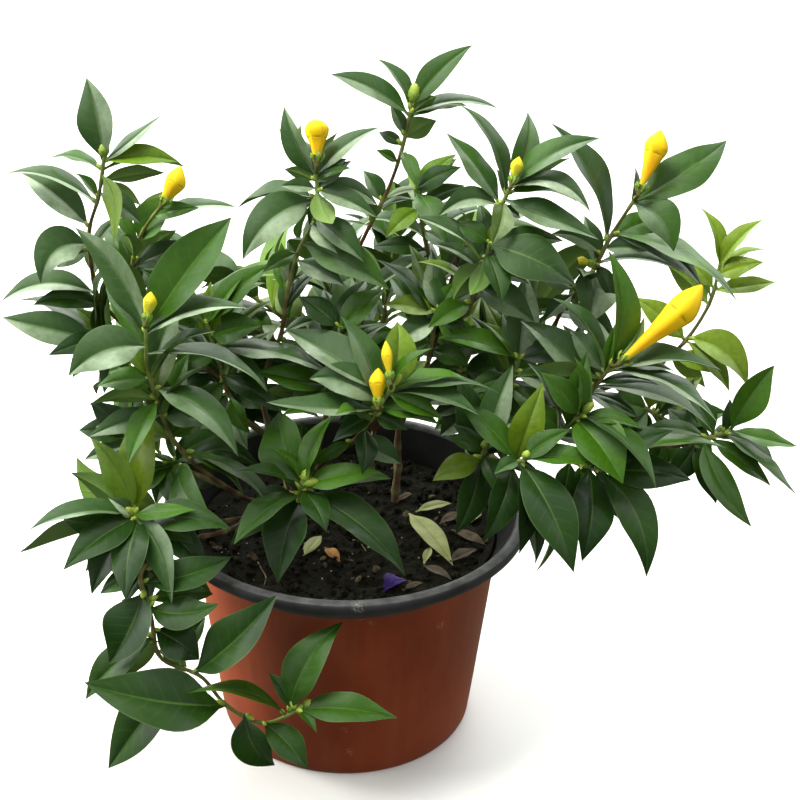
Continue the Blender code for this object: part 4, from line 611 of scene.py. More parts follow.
# Small leaves between the others, with the shoot that bears each. A row is read as in the shoots' table.
FINE_LEAVES = (
    ("far_right_fresh", (
        (712, 298, 662, 258, 14, 0, UNDER, 692, 268), (686, 340, 730, 392, 18, 0, TOP, 714, 364),
        (674, 358, 706, 388, 18, 0, UNDER))),
    ("upper_right_bud", (
        (599, 262, 614, 304, 16, 0, TOP), (604, 252, 550, 234, 18, 0, TOP, 576, 236),
        (564, 307, 604, 322, 16, 0, TOP), (574, 296, 543, 322, 16, 0, TOP),
        (566, 302, 590, 290, 16, 0, UNDER))),
    ("right_centre_bud", (
        (506, 194, 578, 202, 13, 0, TOP, 544, 188), (511, 188, 574, 156, 10, 0, UNDER),
        (503, 200, 496, 168, 8, 0, TOP))),
    ("right_middle", ((483, 269, 530, 284, 14, 0, TOP),)),
    ("top_middle", ((415, 188, 462, 166, 20, 0, TOP),)),
    ("top", ((405, 138, 390, 104, 13, 0, TOP), (402, 150, 416, 136, 8, 0, TOP))),
    ("centre_left_bud", (
        (315, 168, 296, 112, 13, 0, UNDER), (316, 178, 352, 168, 10, 0, TOP),
        (280, 338, 308, 374, 18, 0, TOP))),
    ("centre_left", (
        (330, 390, 252, 370, 24, 0, TOP, 292, 378), (329, 402, 270, 418, 18, 0, TOP),
        (329, 404, 262, 392, 16, 0, UNDER))),
    ("centre_buds", (
        (388, 396, 446, 420, 20, 0, TOP), (372, 418, 408, 430, 18, 0, TOP),
        (350, 444, 316, 466, 13, 0, TOP))),
    ("right_centre_deep", ((474, 398, 430, 418, 18, 0, TOP),)),
    ("left_crown", (
        (103, 168, 186, 166, 10, 0, UNDER), (101, 186, 142, 206, 13, 0, UNDER),
        (90, 248, 56, 268, 16, 0, TOP), (97, 196, 74, 172, 9, 0, TOP))),
    ("left_second", ((155, 216, 200, 208, 16, 0, TOP),)),
    ("left_fan", ((106, 343, 72, 378, 18, 0, TOP), (117, 346, 104, 394, 18, 0, TOP))),
    ("left_bud", (
        (149, 384, 96, 386, 20, 0, TOP), (173, 438, 204, 424, 16, 0, TOP),
        (182, 450, 246, 496, 14, 0, TOP))),
    ("left_low_deep", ((172, 463, 156, 506, 18, 0, TOP), (140, 445, 84, 460, 18, 0, TOP))),
    ("low_left_rosette", ((131, 514, 70, 472, 24, 0, UNDER), (132, 516, 84, 572, 18, 0, TOP))),
    ("trailing", (
        (140, 576, 100, 594, 20, 0, TOP), (152, 642, 122, 680, 24, 0, UNDER),
        (178, 668, 206, 616, 20, 0, TOP))),
    ("right_hanging", ((560, 457, 528, 462, 14, 0, TOP), (580, 464, 576, 492, 14, 0, TOP))),
    ("front_right", ((520, 460, 538, 566, 22, 0, TOP, 534, 520),)),
    ("big_bud", ((618, 362, 645, 316, 14, 0, UNDER),)),
    ("centre_deep", (
        (380, 398, 426, 424, 20, 0, TOP), (380, 398, 338, 424, 18, 0, TOP),
        (378, 392, 410, 414, 18, 0, UNDER))),
    ("right_centre_deep", (
        (478, 404, 434, 430, 20, 0, TOP), (476, 400, 504, 436, 18, 0, TOP),
        (480, 412, 456, 446, 18, 0, TOP))),
    ("left_deep", (
        (238, 408, 292, 412, 20, 0, TOP), (238, 405, 206, 436, 18, 0, TOP),
        (238, 408, 256, 440, 18, 0, UNDER))),
    ("left_inner", ((230, 400, 250, 434, 18, 0, TOP),)),
    ("front_middle", ((484, 450, 446, 436, 16, 0, TOP),)),
    ("right_centre_bud", ((500, 206, 520, 218, 10, 0, TOP),)),
    ("right_middle", ((483, 269, 452, 282, 14, 0, UNDER),)),
)
# Leaves placed by rule get lime at random: painted light shining through them
INNER_LIT_THROUGH = (-0.9, 0.55)
FRESH_YOUTH = 0.8
FILLER_SHARES = (0.25, 0.98)
FILLER_LENGTH = (24, 44)
FILLER_WIDTH = (0.3, 0.4)
FILLER_SPREAD = (40, 75)
MOST_TOWARD = 0.15
LEAF_FOLD = (0.16, 0.5)
LEAF_CUP = (0.02, 0.2)
LEAF_TWIST = (-0.4, 0.4)
TWIST_FROM = 0.4
LEAF_WAVE = (0.03, 0.11)
LEAF_WAVES = (1.2, 2.4)
WAVE_CROWDING = 1.6
LEAF_DROOP = 0.06
DROOP_FROM = 0.62
LEAF_OUTLINE = (
    (0, 0.06), (0.05, 0.1), (0.12, 0.34), (0.21, 0.68), (0.31, 0.92), (0.42, 1.03), (0.53, 1.0),
    (0.64, 0.85), (0.75, 0.62), (0.85, 0.37), (0.93, 0.17), (1, 0.0),
)
# Leaves placed by rule get painted light: a lighter green the higher they stand, with some chance, and the
# higher ones more often a painted sheen
LIGHT_FOOT = 90 * MM
LIGHT_RISE = 220 * MM
LOW_LIGHT = 0.1
HIGH_LIGHT = 0.25
LIGHT_CHANCE = (-0.35, 0.5)
SHEEN_SHARE = 0.75
SHEEN_RANGE = (0.0, 0.9)
# How light a charted leaf's green is, by its tip's pixel: partly its own tone, partly painted light and
# shade, with low leaves darker. Above 1 it has a painted sheen.
LIGHT = {
    (73, 228): 1.35, (232, 216): 0.35, (248, 308): 1.75, (67, 376): 1.6, (241, 456): 1.4, (271, 388): 1.8,
    (275, 262): 0.6, (340, 377): 1.5, (175, 195): 1.1, (238, 206): 1.6, (20, 172): 1.85, (41, 284): 1.45,
    (3, 172): 1.8, (1, 316): 1.5, (0, 302): 1.6, (86, 77): 1.55, (163, 112): 1.5, (142, 224): 1.4,
    (473, 44): 0.3, (377, 58): 1.2, (330, 74): 1.2, (500, 107): 1.45, (284, 106): 1.25, (381, 127): 1.4,
    (378, 218): 1.6, (378, 206): 1.6, (242, 260): 1.55, (338, 254): 1.9, (364, 262): 1.3, (345, 286): 1.85,
    (390, 290): 1.15, (460, 102): 0.3, (446, 132): 1.25, (528, 111): 1.25, (601, 137): 1.2,
    (592, 212): 1.85, (438, 217): 1.8, (600, 238): 1.3, (578, 285): 0.1, (565, 240): 0.15, (502, 304): 0.1,
    (360, 297): 1.6, (372, 247): 0.15, (457, 153): 0.9, (446, 245): 1.2, (588, 325): 1.95, (618, 342): 1.5,
    (520, 262): 1.3, (520, 319): 1.5, (513, 375): 1.7, (722, 370): 1.4, (718, 422): 1.7, (715, 430): 1.35,
    (728, 447): 0.9, (740, 301): 1.1, (665, 218): 1.1, (551, 122): 0.15, (727, 140): 0.35, (674, 252): 1.2,
    (686, 274): 1.6, (608, 250): 0.7, (308, 378): 1.4, (283, 327): 1.5, (480, 415): 1.3, (500, 392): 1.2,
    (470, 378): 0.9, (775, 365): 1.0, (798, 446): 0.8, (753, 527): 0.5, (192, 168): 1.8, (308, 770): 0.2,
    (275, 766): 0.1, (398, 718): 0.4, (343, 620): 0.4, (187, 693): 0.4, (84, 682): 0.15, (277, 594): 0.1,
    (107, 769): 0.1, (108, 664): 0.0, (219, 603): 0.1, (200, 660): 0.1, (84, 700): 0.2, (125, 600): 0.0,
    (150, 606): 0.0, (176, 600): 0.1, (90, 595): 0.0, (62, 570): 0.0, (61, 516): 0.1, (196, 509): 0.7,
    (170, 605): 1.25, (658, 488): 0.3, (623, 484): 0.8, (582, 562): 0.0, (647, 578): 0.05, (574, 573): 0.1,
    (483, 543): 0.1, (408, 575): 0.0, (278, 583): 0.0, (381, 472): 0.95, (230, 545): 0.0, (278, 412): 0.3,
    (208, 574): 0.0, (232, 556): 0.0, (232, 528): 0.1, (195, 545): 0.1, (28, 530): 1.3, (90, 438): 0.3,
}
LEAF_VEINS = 9
VEIN_SLANT = 1.3
FINISH_TOP = 0
FINISH_UNDER = 1
FINISH_TWIG = 2
FINISH_BUD = 3

# Fine stems and buds
FINE_SIDES = 9
FINE_STEP = 2.5 * MM
THIN = 0.66
KNOT_LENGTH = 1.8 * MM
KNOT_SWELL = 0.3
BARK_UNIT = 10 * MM
ROOT_STEPS = 60
WOOD_KNOTS = (0.2, 0.37, 0.54, 0.71, 0.88)
WOOD_TONES = ((0.0, 0.12), (0.12, 0.4))
WOOD_ROUGH = 0.05
STEM_ROUGH = 0.02
STEM_TONE = (0.45, 1.0)
BUD_STALK_TONE = 0.8
STALK_INTO_BUD = 0.5 * MM
CALYX_STEP = 1.5 * MM
CALYX_TONE = 0.7
CALYX_STALK = (0.8, 0.7)
CUP_TO_NECK = 1.3
SEPALS = 5
SEPAL_TURN = 0.3
SEPAL_IN = 0.7
SEPAL_OUT = 1.5
SEPAL_FOOT = 2.4 * MM
SEPAL_REACH = 1.3 * MM
SEPAL_WIDTH = 2.8 * MM
SEPAL_ARCH = 0.9 * MM
SEPAL_YOUTH = 0.85
SEPAL_LIGHT = 0.8
SEPAL_SEEDS = 7
LOBES = 5
LOBE_WIND = 0.7
LOBE_RIB = 0.03
LOBE_RIB_RISE = 3
LOBE_STEP = 0.035
LOBE_OPENS = 0.14
LOBE_DENT = 0.05
DENT_REACH = 0.025
CREASE_HALF = 0.3
CREASE_ROW = 0.006
CREASE_ROWS = 4
MARK_REACH = 0.013
EDGE_WIDTH = 0.07
EDGE_OPENS = 0.1
BLOOM_ROWS = 64
BLOOM_SIDES = 50
BLOOM_END = 0.992
SCALES = 3
SCALE_WIND = 1.6
SCALE_STEP = 0.16
SCALE_SUNK = 0.05
GREEN_ROWS = 14
GREEN_SIDES = 14
GREEN_END = 0.995
BUDS_IN_FIVE = 3
BUD_LEAN = (-0.4, 0.4)
BUD_RISE = 0.7
BUD_LIFT = 0.4 * MM
BUD_LENGTH = 1.7
BUD_RADIUS = 0.45
SCALE_SEED = 5
LARGE_BUD = (2.0, 3.6)
SMALL_BUD = (1.3, 2.6)
GREEN_OUTLINE = ((0, 0.5), (0.2, 0.92), (0.4, 1.0), (0.65, 0.86), (0.85, 0.5), (1, 0.0))
BUDDED = ("trailing", "low_left_rosette", "front_left")
STEM_TONES = {
    "left_crown": (0.25, 0.85), "big_bud": (0.25, 0.85), "left_second": (0.25, 0.85),
    "upper_right_bud": (0.25, 0.85), "top": (0.2, 0.75), "trailing": (0.5, 1.0),
}

# Young leaves of the tables, by their tip's pixel, from 0 for dark green to 1 for lime
YOUNG = {
    (180, 162): 0.45, (113, 245): 0.4, (398, 320): 0.6, (383, 305): 0.6, (150, 403): 0.7, (77, 456): 0.3,
    (432, 481): 0.6, (655, 358): 0.6, (702, 376): 0.5, (492, 245): 0.3, (457, 153): 0.35, (457, 158): 0.5,
    (404, 150): 0.5, (385, 238): 0.5, (333, 225): 0.1, (90, 438): 0.3,
}

# Fine pot and soil
POT_FINE_STEPS = 160
POT_FINE = (
    (0, 1.8), (56, 1.8), (60, 2.2), (61.4, 3.6), (62.2, 8), (73.2, 97), (75, 104), (79.6, 111.8),
    (83.4, 117.2), (84.5, 118.4), (86, 119), (88.2, 119), (89.4, 118.4), (90, 117), (89.9, 114.4),
    (89.4, 113.2), (88.4, 112.6), (84.4, 111.5), (83.4, 110.6), (75.4, 101.8), (74.8, 99.5), (70.5, 62),
    (64.2, 8), (63.4, 2), (62.8, 0.6), (61.6, 0), (0, 0),
)
POT_LIP_ROWS = (7, 18)
LIP_CREST = (117.2 * MM, 119 * MM)
LIP_SCUFF = (8 * MM, -88.5 * MM, 118 * MM)
LIP_SCUFF_REACH = 4 * MM
# Rubbed spots on the wall: the pixel of each and its reach in mm
SCUFFS = (((360, 617), 3), ((441, 625), 3), ((372, 623), 2), ((345, 730), 2.5), ((350, 752), 3))
WALL_FOOT = (63.5, 1.6)
WALL_TOP = (75, 101)
WALL_TRIES = 30
SOIL_EDGE = 73.2 * MM
SOIL_LIFT = 0.4
SOIL_FADE = 4 * MM
# Lumps of the soil: how many to a metre, height in mm
SOIL_LUMPS = ((70, 1.3), (210, 1.2), (560, 0.7))
SOIL_ROWS = 52
SOIL_STEPS = 160
# Loose bits on the soil: how many, least and most size in mm, finish, flatness
BITS_REACH = 0.96
FLAT_TILT = (-0.5, 0.5)
PEBBLE_WIDTH = (0.55, 0.9)
PEBBLE_HEIGHT = (0.6, 0.9)
PEBBLE_UNEVEN = (0.78, 1.15)
PEBBLE_RISE = 0.25
SOIL_BITS = ((620, 0.7, 2.8, 0, 1.0), (48, 1.0, 3.2, 1, 0.5), (60, 0.3, 0.6, 2, 1.0))
# Litter
LITTER_ARCH = 0.06
LITTER_LIGHT = 0.5
LITTER_SEED = 40
PETAL_SIZE = 5 * MM
PETAL_FROM = 0.2
PETAL_OVER = 0.8
PETAL_WAYS = (-1, 0, 1)
# Scraps of leaf on the soil, with the fallen leaf whose colour they share
SCRAPS = (
    ("fallen_leaf", 416, 512, 452, 503, 7), ("fallen_leaf", 471, 522, 482, 512, 4),
    ("fallen_leaf", 424, 564, 431, 547, 4), ("fallen_leaf", 304, 556, 322, 535, 7),
    ("dry_curl", 450, 562, 478, 549, 7), ("dry_curl", 402, 590, 424, 582, 4),
    ("dry_leaf", 440, 524, 462, 512, 6), ("dry_leaf", 396, 502, 412, 494, 4),
)
ROOTLET_LIFT = 0.5 * MM
ROOTLET_STEP = 1.5 * MM
ROOTLET_RADII = (0.45 * MM, 0.2 * MM)
ROOTLET_SIDES = 6
# Rootlets, by the pixels that each passes
ROOTLETS = (
    ((258, 563), (261, 571), (266, 578), (264, 585)), ((352, 540), (360, 545), (366, 553)),
    ((300, 548), (309, 553), (320, 552)), ((430, 560), (441, 557), (449, 561)),
)

# Colours as linear red, green and blue
LEAF_DEEP = (0.009, 0.032, 0.004)
LEAF_MID = (0.055, 0.158, 0.005)
LEAF_LIME = (0.195, 0.305, 0.01)
LEAF_COOL = (0.021, 0.065, 0.009)
# Painted sheen: a pale colour laid on the front half of some leaves, standing in for reflected sky; the next
# line gives the way that half faces
LEAF_PAINTED_SHEEN = (0.41, 0.52, 0.35)
SHEEN_WAY = (0.2, -1, -0.3)
LEAF_VEIN = (0.14, 0.24, 0.045)
# The margin's own paler colour, with a painted rim highlight
LEAF_MARGIN_AND_RIM_LIGHT = (0.13, 0.2, 0.06)
LEAF_TIP = (0.1, 0.06, 0.02)
UNDER_DEEP = (0.085, 0.165, 0.032)
UNDER_PALE = (0.165, 0.265, 0.07)
UNDER_LIME = (0.27, 0.43, 0.05)
TWIG_COLOURS = (
    (0.0, (0.15, 0.105, 0.065)), (0.25, (0.085, 0.036, 0.02)), (0.55, (0.10, 0.058, 0.026)),
    (0.8, (0.13, 0.16, 0.035)), (1.0, (0.16, 0.27, 0.045)),
)
TWIG_DARK = (0.045, 0.028, 0.016)
TWIG_KNOT = (0.3, 0.34, 0.12)
BUD_LOW = (0.15, 0.26, 0.03)
BUD_HIGH = (0.42, 0.51, 0.08)
# Painted shade in the sunken band beside each bud scale's step
BUD_PAINTED_SHADE = (0.07, 0.12, 0.02)
PETAL_YELLOW = (0.9, 0.62, 0.008)
PETAL_WARM = (0.88, 0.43, 0.005)
PETAL_FOOT = (0.46, 0.50, 0.035)
PETAL_EDGE = (0.75, 0.32, 0.004)
PETAL_MARK = (0.42, 0.14, 0.005)
POT_DEEP = (0.185, 0.034, 0.012)
POT_RED = (0.31, 0.058, 0.022)
POT_DUST = (0.36, 0.13, 0.07)
POT_SCUFF = (0.42, 0.24, 0.17)
LIP_DARK = (0.018, 0.018, 0.018)
LIP_GREY = (0.04, 0.042, 0.044)
# Lighter grey of the lip's worn specks and of the painted light along its crest
LIP_WORN_AND_LIT = (0.11, 0.113, 0.115)
LIP_CHALK = (0.28, 0.275, 0.26)
FLOOR_SHADE = (0.86, 0.86, 0.86)
FLOOR_LIGHT = (0.9, 0.9, 0.9)
# Plain looks: name, two shades, grain a metre, roughness, depth of grain and, for some, a colour of specks
# The pot's inside: black plastic like the lip, set darker still as painted shade inside the pot
INSIDE_LOOK = ("pot_inside", (0.003, 0.003, 0.003), (0.009, 0.009, 0.008), 90, 0.8, 0.2 * MM)
SOIL_LOOKS = (
    ("soil", (0.0035, 0.0032, 0.0018), (0.019, 0.017, 0.009), 260, 0.92, 2 * MM, (0.12, 0.10, 0.055)),
    ("soil_chip", (0.03, 0.024, 0.014), (0.16, 0.125, 0.07), 240, 0.85, 0.5 * MM),
    ("soil_speck", (0.42, 0.40, 0.34), (0.72, 0.70, 0.62), 600, 0.8, 0.2 * MM),
    ("soil_root", (0.18, 0.13, 0.07), (0.36, 0.28, 0.17), 500, 0.7, 0.2 * MM),
)
# The same for the litter, each after its slot
LITTER_LOOKS = (
    ("leaf_fallen", "fallen", (0.26, 0.30, 0.10), (0.46, 0.49, 0.23), 90, 0.6, 0.4 * MM, (0.25, 0.2, 0.06)),
    ("leaf_amber", "amber", (0.30, 0.12, 0.03), (0.62, 0.33, 0.09), 160, 0.6, 0.4 * MM, (0.12, 0.05, 0.02)),
    ("petal_violet", "violet", (0.018, 0.006, 0.09), (0.055, 0.02, 0.22), 300, 0.5, 0.3 * MM,
     (0.09, 0.045, 0.03)),
    ("leaf_dry", "dry", (0.055, 0.038, 0.024), (0.15, 0.11, 0.07), 200, 0.75, 0.6 * MM, (0.22, 0.15, 0.1)),
    ("leaf_dry", "curl", (0.045, 0.035, 0.024), (0.13, 0.10, 0.07), 200, 0.75, 0.6 * MM, (0.2, 0.15, 0.1)),
)

# Surfaces: least and most roughness, depth of the relief and its strength
LEAF_SURFACE = (0.28, 0.42, 0.22 * MM, 0.5)
UNDER_SURFACE = (0.5, 0.62, 0.2 * MM, 0.5)
TWIG_SURFACE = (0.5, 0.75, 0.35 * MM, 0.6)
BUD_SURFACE = (0.4, 0.55, 0.15 * MM, 0.5)
PETAL_SURFACE = (0.42, 0.58, 0.2 * MM, 0.5)
WALL_SURFACE = (0.46, 0.64, 0.12 * MM, 0.45)
LIP_SURFACE = (0.36, 0.6, 0.12 * MM, 0.6)
PLAIN_UNEVEN = 0.08
PLAIN_STRENGTH = 0.8

# Where a mark or a grain begins and ends to count and, if not 0 and 1, what it gives there
CLOUDY_LIGHT = (-0.15, 0.15)
# The painted sheen: light marks above 1 give it, on the leaf's front half, in patches, over a cooler green
SHEEN_LIGHTS = (1.0, 2.0)
FRONT_HALF_SHEEN = (-0.06, 0.25, 0.08, 1.0)
SHEEN_PATCHES = (0.36, 0.6, 0.5, 1.0)
COOL_UNDER_SHEEN = (0.0, 0.25)
TOP_MOTTLES = (0.35, 0.75, 0.0, 0.3)
TOP_RIB = (0.01, 0.06, 1.0, 0.0)
TOP_RIB_FADE = (0, 1, 0.5, 0.08)
# The margin, with its painted rim highlight
TOP_MARGIN_AND_RIM_LIGHT = (0.94, 1.0, 0.0, 0.4)
TOP_TIP = (0.97, 1.0, 0.0, 0.6)
UNDER_RIB = (0.02, 0.1, 1.0, 0.0)
VEIN_FADE = (0.5, 0.95, 1.0, 0.0)
BARK_DARKS = (0.35, 0.75, 0.0, 0.55)
BUD_FADE = (0.1, 0.9)
# Where the painted shade under the bud's scales lies
SHADE_UNDER_SCALES = (0.82, 1.0, 0.0, 0.7)
BUD_MOTTLES = (0.4, 0.7, 0.0, 0.3)
WARM_FOOT = (0.35, 0.62, 1.0, 0.15)
WARM_CLOUDS = (0.2, 0.6, 0.4, 1.0)
WARM_RIPE = (0.0, 0.4, 1.0, 0.0)
GREEN_FOOT = (0.0, 0.2, 0.75, 0.0)
GREEN_UNRIPE = (0.0, 1.0, 1.3, 0.4)
CREASE_RIPE = (0.1, 0.5, 0.75, 0.1)
DUSTY_STREAKS = (0.48, 0.8, 0.0, 0.28)
SCUFF_PATCHES = (0.42, 0.6)
# Patches of the painted light and wear along the lip's crest
LIP_CREST_LIGHT_AND_RUBS = (0.35, 0.65)
CHALK_PATCHES = (0.45, 0.7)
PLAIN_SHADES = (0.32, 0.68)

# Specks: how many a metre, their size and how much they show
WALL_SPECKS = (700, 0.22, 0.35)
LIP_SPECKS = (900, 0.16, 0.5)
PLAIN_SPECKS = (0.2, 0.7)

# How much of a colour or a relief is laid over what is there
TOP_VEINS_SHOW = 0.05
UNDER_VEINS_SHOW = 0.12
UNDER_RIB_SHOWS = 0.6
UNDER_LIME_SHOWS = 0.85
KNOTS_SHOW = 0.35
PETAL_EDGE_SHOWS = 0.4
SCUFFS_SHOW = 0.5
LIP_LIGHT_AND_WEAR_SHOWS = 0.55
MOTTLE_RELIEF = 0.4
VEIN_RELIEF = 0.3
QUILT_RELIEF = 2.5
STREAK_RELIEF = 2
TOP_VEIN_WIDTH = 0.16
UNDER_VEIN_WIDTH = 0.12
SPOT_CORE = 0.3

# What most of a grain lies between, and most of two added up
USUAL_GRAIN = (0.3, 0.7)
USUAL_SUM = (0.7, 1.3)

# Grains: scale a metre, detail and, for some, how they are stretched
LEAF_MOTTLE = (420, 4)
LEAF_CLOUDS = (24, 2)
# Patches of the painted sheen
LEAF_SHEEN_GRAIN = (75, 5, (1, 1, 0.6))
LEAF_QUILT = (110, 2)
LEAF_GLOSS = (60, 3)
UNDER_CLOUDS = (30, 2)
UNDER_GRAIN = (700, 3)
UNDER_GLOSS = (90, 3)
BARK_GRAIN = (300, 4, (1, 1, 0.25))
BUD_MOTTLE = (900, 3)
BUD_GLOSS = (400, 2)
BUD_GRAIN = (1500, 3)
PETAL_CLOUDS = (90, 3)
PETAL_STREAKS = (260, 3, (1, 1, 0.2))
WALL_CLOUDS = (22, 4)
WALL_STREAKS = (90, 4, (1, 1, 0.12))
WALL_GRAIN = (1400, 3)
SCUFF_GRAIN = (700, 4)
LIP_CREST_GRAIN = (160, 5)
LIP_CLOUDS = (50, 4)
LIP_GLOSS = (120, 4)
LIP_GRAIN = (1200, 4)
CHALK_GRAIN = (900, 5)

# Studio
SENSOR = 36
LIT_SPOT = Vector((0, 0, 150 * MM))
FLOOR_REACH = 6
BACKDROP_HEIGHT = 4
BACKDROP_STEPS = 48
WORLD_STOPS = (
    (0.0, (0.16, 0.17, 0.13)), (0.12, (0.7, 0.73, 0.68)), (0.45, (1.25, 1.28, 1.24)),
    (0.8, (0.95, 0.98, 0.93)), (1.0, (0.65, 0.68, 0.62)),
)
WORLD_BRIGHT_WAY = (-0.35, 0.85, 0)
WORLD_SIDES = (0.1, 2.7)
WORLD_TURN = 0.7
# Name, place, size across, power in watts and tint
LIGHTS = (
    ("key", (-0.6, -0.1, 1.8), 0.9, 42, (1, 0.97, 0.9)),
    ("left", (-1.1, 0.45, 0.2), 0.5, 32, (1, 0.95, 0.88)),
    ("fill", (0.7, -1.5, 0.8), 1.4, 10, (1, 0.98, 0.94)),
    ("back", (0.3, 1.4, 1.5), 1.2, 18, (1, 1, 0.97)),
)


def ray(u, v):
    """The way the eye looks at a pixel, one unit deep."""
    return AHEAD + RIGHT * ((u - MIDDLE_PX) / FOCAL_PX) + UPWARD * ((MIDDLE_PX - v) / FOCAL_PX)


def depth_of(point):
    return (point - EYE).dot(AHEAD)


def seen(u, v, behind):
    """The point seen at a pixel that stands so many millimetres behind the pot's axis."""
    way = ray(u, v)
    return EYE + way * ((behind * MM - EYE.y) / way.y)


def pixel_of(point):
    offset = point - EYE
    scale = FOCAL_PX / offset.dot(AHEAD)
    return MIDDLE_PX + offset.dot(RIGHT) * scale, MIDDLE_PX - offset.dot(UPWARD) * scale


def curve_through(points, step=STEM_STEP):
    """Points about a step apart along a smooth curve through the given ones."""
    ends = [points[0]] + list(points) + [points[-1]]
    fine = []
    for before, here, there, after in zip(ends, ends[1:], ends[2:], ends[3:]):
        for count in range(CURVE_STEPS):
            t = count / CURVE_STEPS
            fine.append(0.5 * (2 * here + (there - before) * t
                               + (2 * before - 5 * here + 4 * there - after) * t ** 2
                               + (3 * here - before - 3 * there + after) * t ** 3))
    fine.append(points[-1])
    pieces = max(2, round(path_length(fine) / step))
    return [along(fine, count / pieces)[0] for count in range(pieces + 1)]


def path_length(points):
    return sum((b - a).length for a, b in zip(points, points[1:]))


def along(points, share):
    """The point at a share of a path's length, and the path's direction there."""
    spans = [(b - a).length for a, b in zip(points, points[1:])]
    left = share * sum(spans)
    for a, b, span in zip(points, points[1:], spans):
        if left <= span or b is points[-1]:
            return a.lerp(b, left / span), (b - a) / span
        left -= span


def cut_path(points, start, end):
    """The part of a path between two distances from its start. A negative one counts back from its end."""
    total = path_length(points)
    stop = end if end > 0 else total + end
    inner = []
    done = 0
    for a, b in zip(points, points[1:]):
        done += (b - a).length
        if start < done < stop:
            inner.append(b)
    return [along(points, start / total)[0]] + inner + [along(points, stop / total)[0]]


def around(count):
    """Angles evenly spaced round a circle."""
    return [math.tau * step / count for step in range(count)]


def level_ring(radius, height, steps):
    """Points round the pot's axis, from a radius and a height in mm."""
    return [Vector((math.cos(angle) * radius, math.sin(angle) * radius, height)) * MM
            for angle in around(steps)]


def across_path(points):
    """Two directions across a path at each of its points, carried along it without a twist."""
    normal = (points[1] - points[0]).orthogonal().normalized()
    for index in range(len(points)):
        onward = points[min(index + 1, len(points) - 1)] - points[max(index - 1, 0)]
        onward.normalize()
        normal = (normal - onward * normal.dot(onward)).normalized()
        yield normal, onward.cross(normal)


def skin(rings, sides):
    """Triangles that join rings of points, which are numbered one ring after another."""
    faces = []
    for index in range(rings - 1):
        for corner in range(sides):
            a, b = index * sides + corner, index * sides + (corner + 1) % sides
            faces += [(a, b, b + sides), (a, b + sides, a + sides)]
    return faces


def fan(first, sides, tip):
    """Triangles that join a ring to one point."""
    return [(first + corner, first + (corner + 1) % sides, tip) for corner in range(sides)]


def tube(points, radii, sides=STEM_SIDES):
    """A closed round solid along points, one radius each. A last radius of zero ends it in a point."""
    pointed = radii[-1] == 0
    rings = len(points) - pointed
    verts = []
    for point, radius, (normal, side) in zip(points[:rings], radii, across_path(points)):
        for angle in around(sides):
            verts.append(point + (normal * math.cos(angle) + side * math.sin(angle)) * radius)
    last = (rings - 1) * sides
    faces = skin(rings, sides) + [(0, corner + 1, corner) for corner in range(1, sides - 1)]
    if pointed:
        verts.append(points[-1])
        faces += fan(last, sides, last + sides)
    else:
        faces += [(last, last + corner, last + corner + 1) for corner in range(1, sides - 1)]
    return verts, faces


def lathed(outline):
    """A solid of revolution, whose outline runs in mm from the axis round to the axis again."""
    verts = [spot for row in outline[1:-1] for spot in level_ring(*row, POT_STEPS)]
    rings = len(outline) - 2
    first_middle = len(verts)
    verts += [Vector((0, 0, height)) * MM for _, height in (outline[0], outline[-1])]
    faces = skin(rings, POT_STEPS) + fan(0, POT_STEPS, first_middle)
    return verts, faces + fan((rings - 1) * POT_STEPS, POT_STEPS, first_middle + 1)


def taper(points, first, last):
    return [first + (last - first) * index / (len(points) - 1) for index in range(len(points))]


def leaf_frame(blade, t):
    """Where a leaf's midrib is at a share of its length, and the directions across it and out of its top."""
    chord = blade.tip - blade.root
    middle = blade.root + chord * t + blade.arch * (4 * t * (1 - t))
    onward = (chord + blade.arch * (4 * (1 - 2 * t))).normalized()
    side = onward.cross(blade.normal).normalized()
    return middle, side, side.cross(onward)


def blade_solid(blade, swell=0, start=0):
    """A leaf, flat above and keeled below. Swell thickens it all round, start leaves out its inner end."""
    chord = blade.tip - blade.root
    verts = []
    for t, share in STATIONS[:-1]:
        if t < start:
            continue
        middle, side, up = leaf_frame(blade, t)
        half = STALK_HALF_WIDTH if share is None else blade.width / 2 * share
        flat = middle + up * (FLAT_ABOVE + swell)
        reach = side * (half + swell)
        verts += [flat - reach, flat + reach, middle - up * (KEEL_BELOW + swell)]
    last = len(verts) - 3
    verts.append(blade.tip + chord.normalized() * swell)
    return verts, [(0, 1, 2)] + skin(last // 3 + 1, 3) + fan(last, 3, last + 3)


class Placed(NamedTuple):
    """A solid that others keep clear of."""

    owner: str
    low: tuple
    high: tuple
    tree: BVHTree
    outer: BVHTree


def placed(owner, solid, outer=None):
    verts, faces = solid
    low = [min(vert[axis] for vert in verts) for axis in range(3)]
    high = [max(vert[axis] for vert in verts) for axis in range(3)]
    tree = BVHTree.FromPolygons(verts, faces)
    return Placed(owner, low, high, tree, BVHTree.FromPolygons(*outer) if outer else None)


def near(a, b):
    return all(a.low[axis] <= b.high[axis] and b.low[axis] <= a.high[axis] for axis in range(3))


def is_clear(candidate, crowd, own):
    """Whether a piece meets no other node, nor, with own set, the outer part of its own node's leaves."""
    for other in crowd:
        if not near(candidate, other):
            continue
        if other.owner != candidate.owner:
            if candidate.tree.overlap(other.tree):
                return False
        elif own and other.outer and candidate.outer.overlap(other.outer):
            return False
    return True


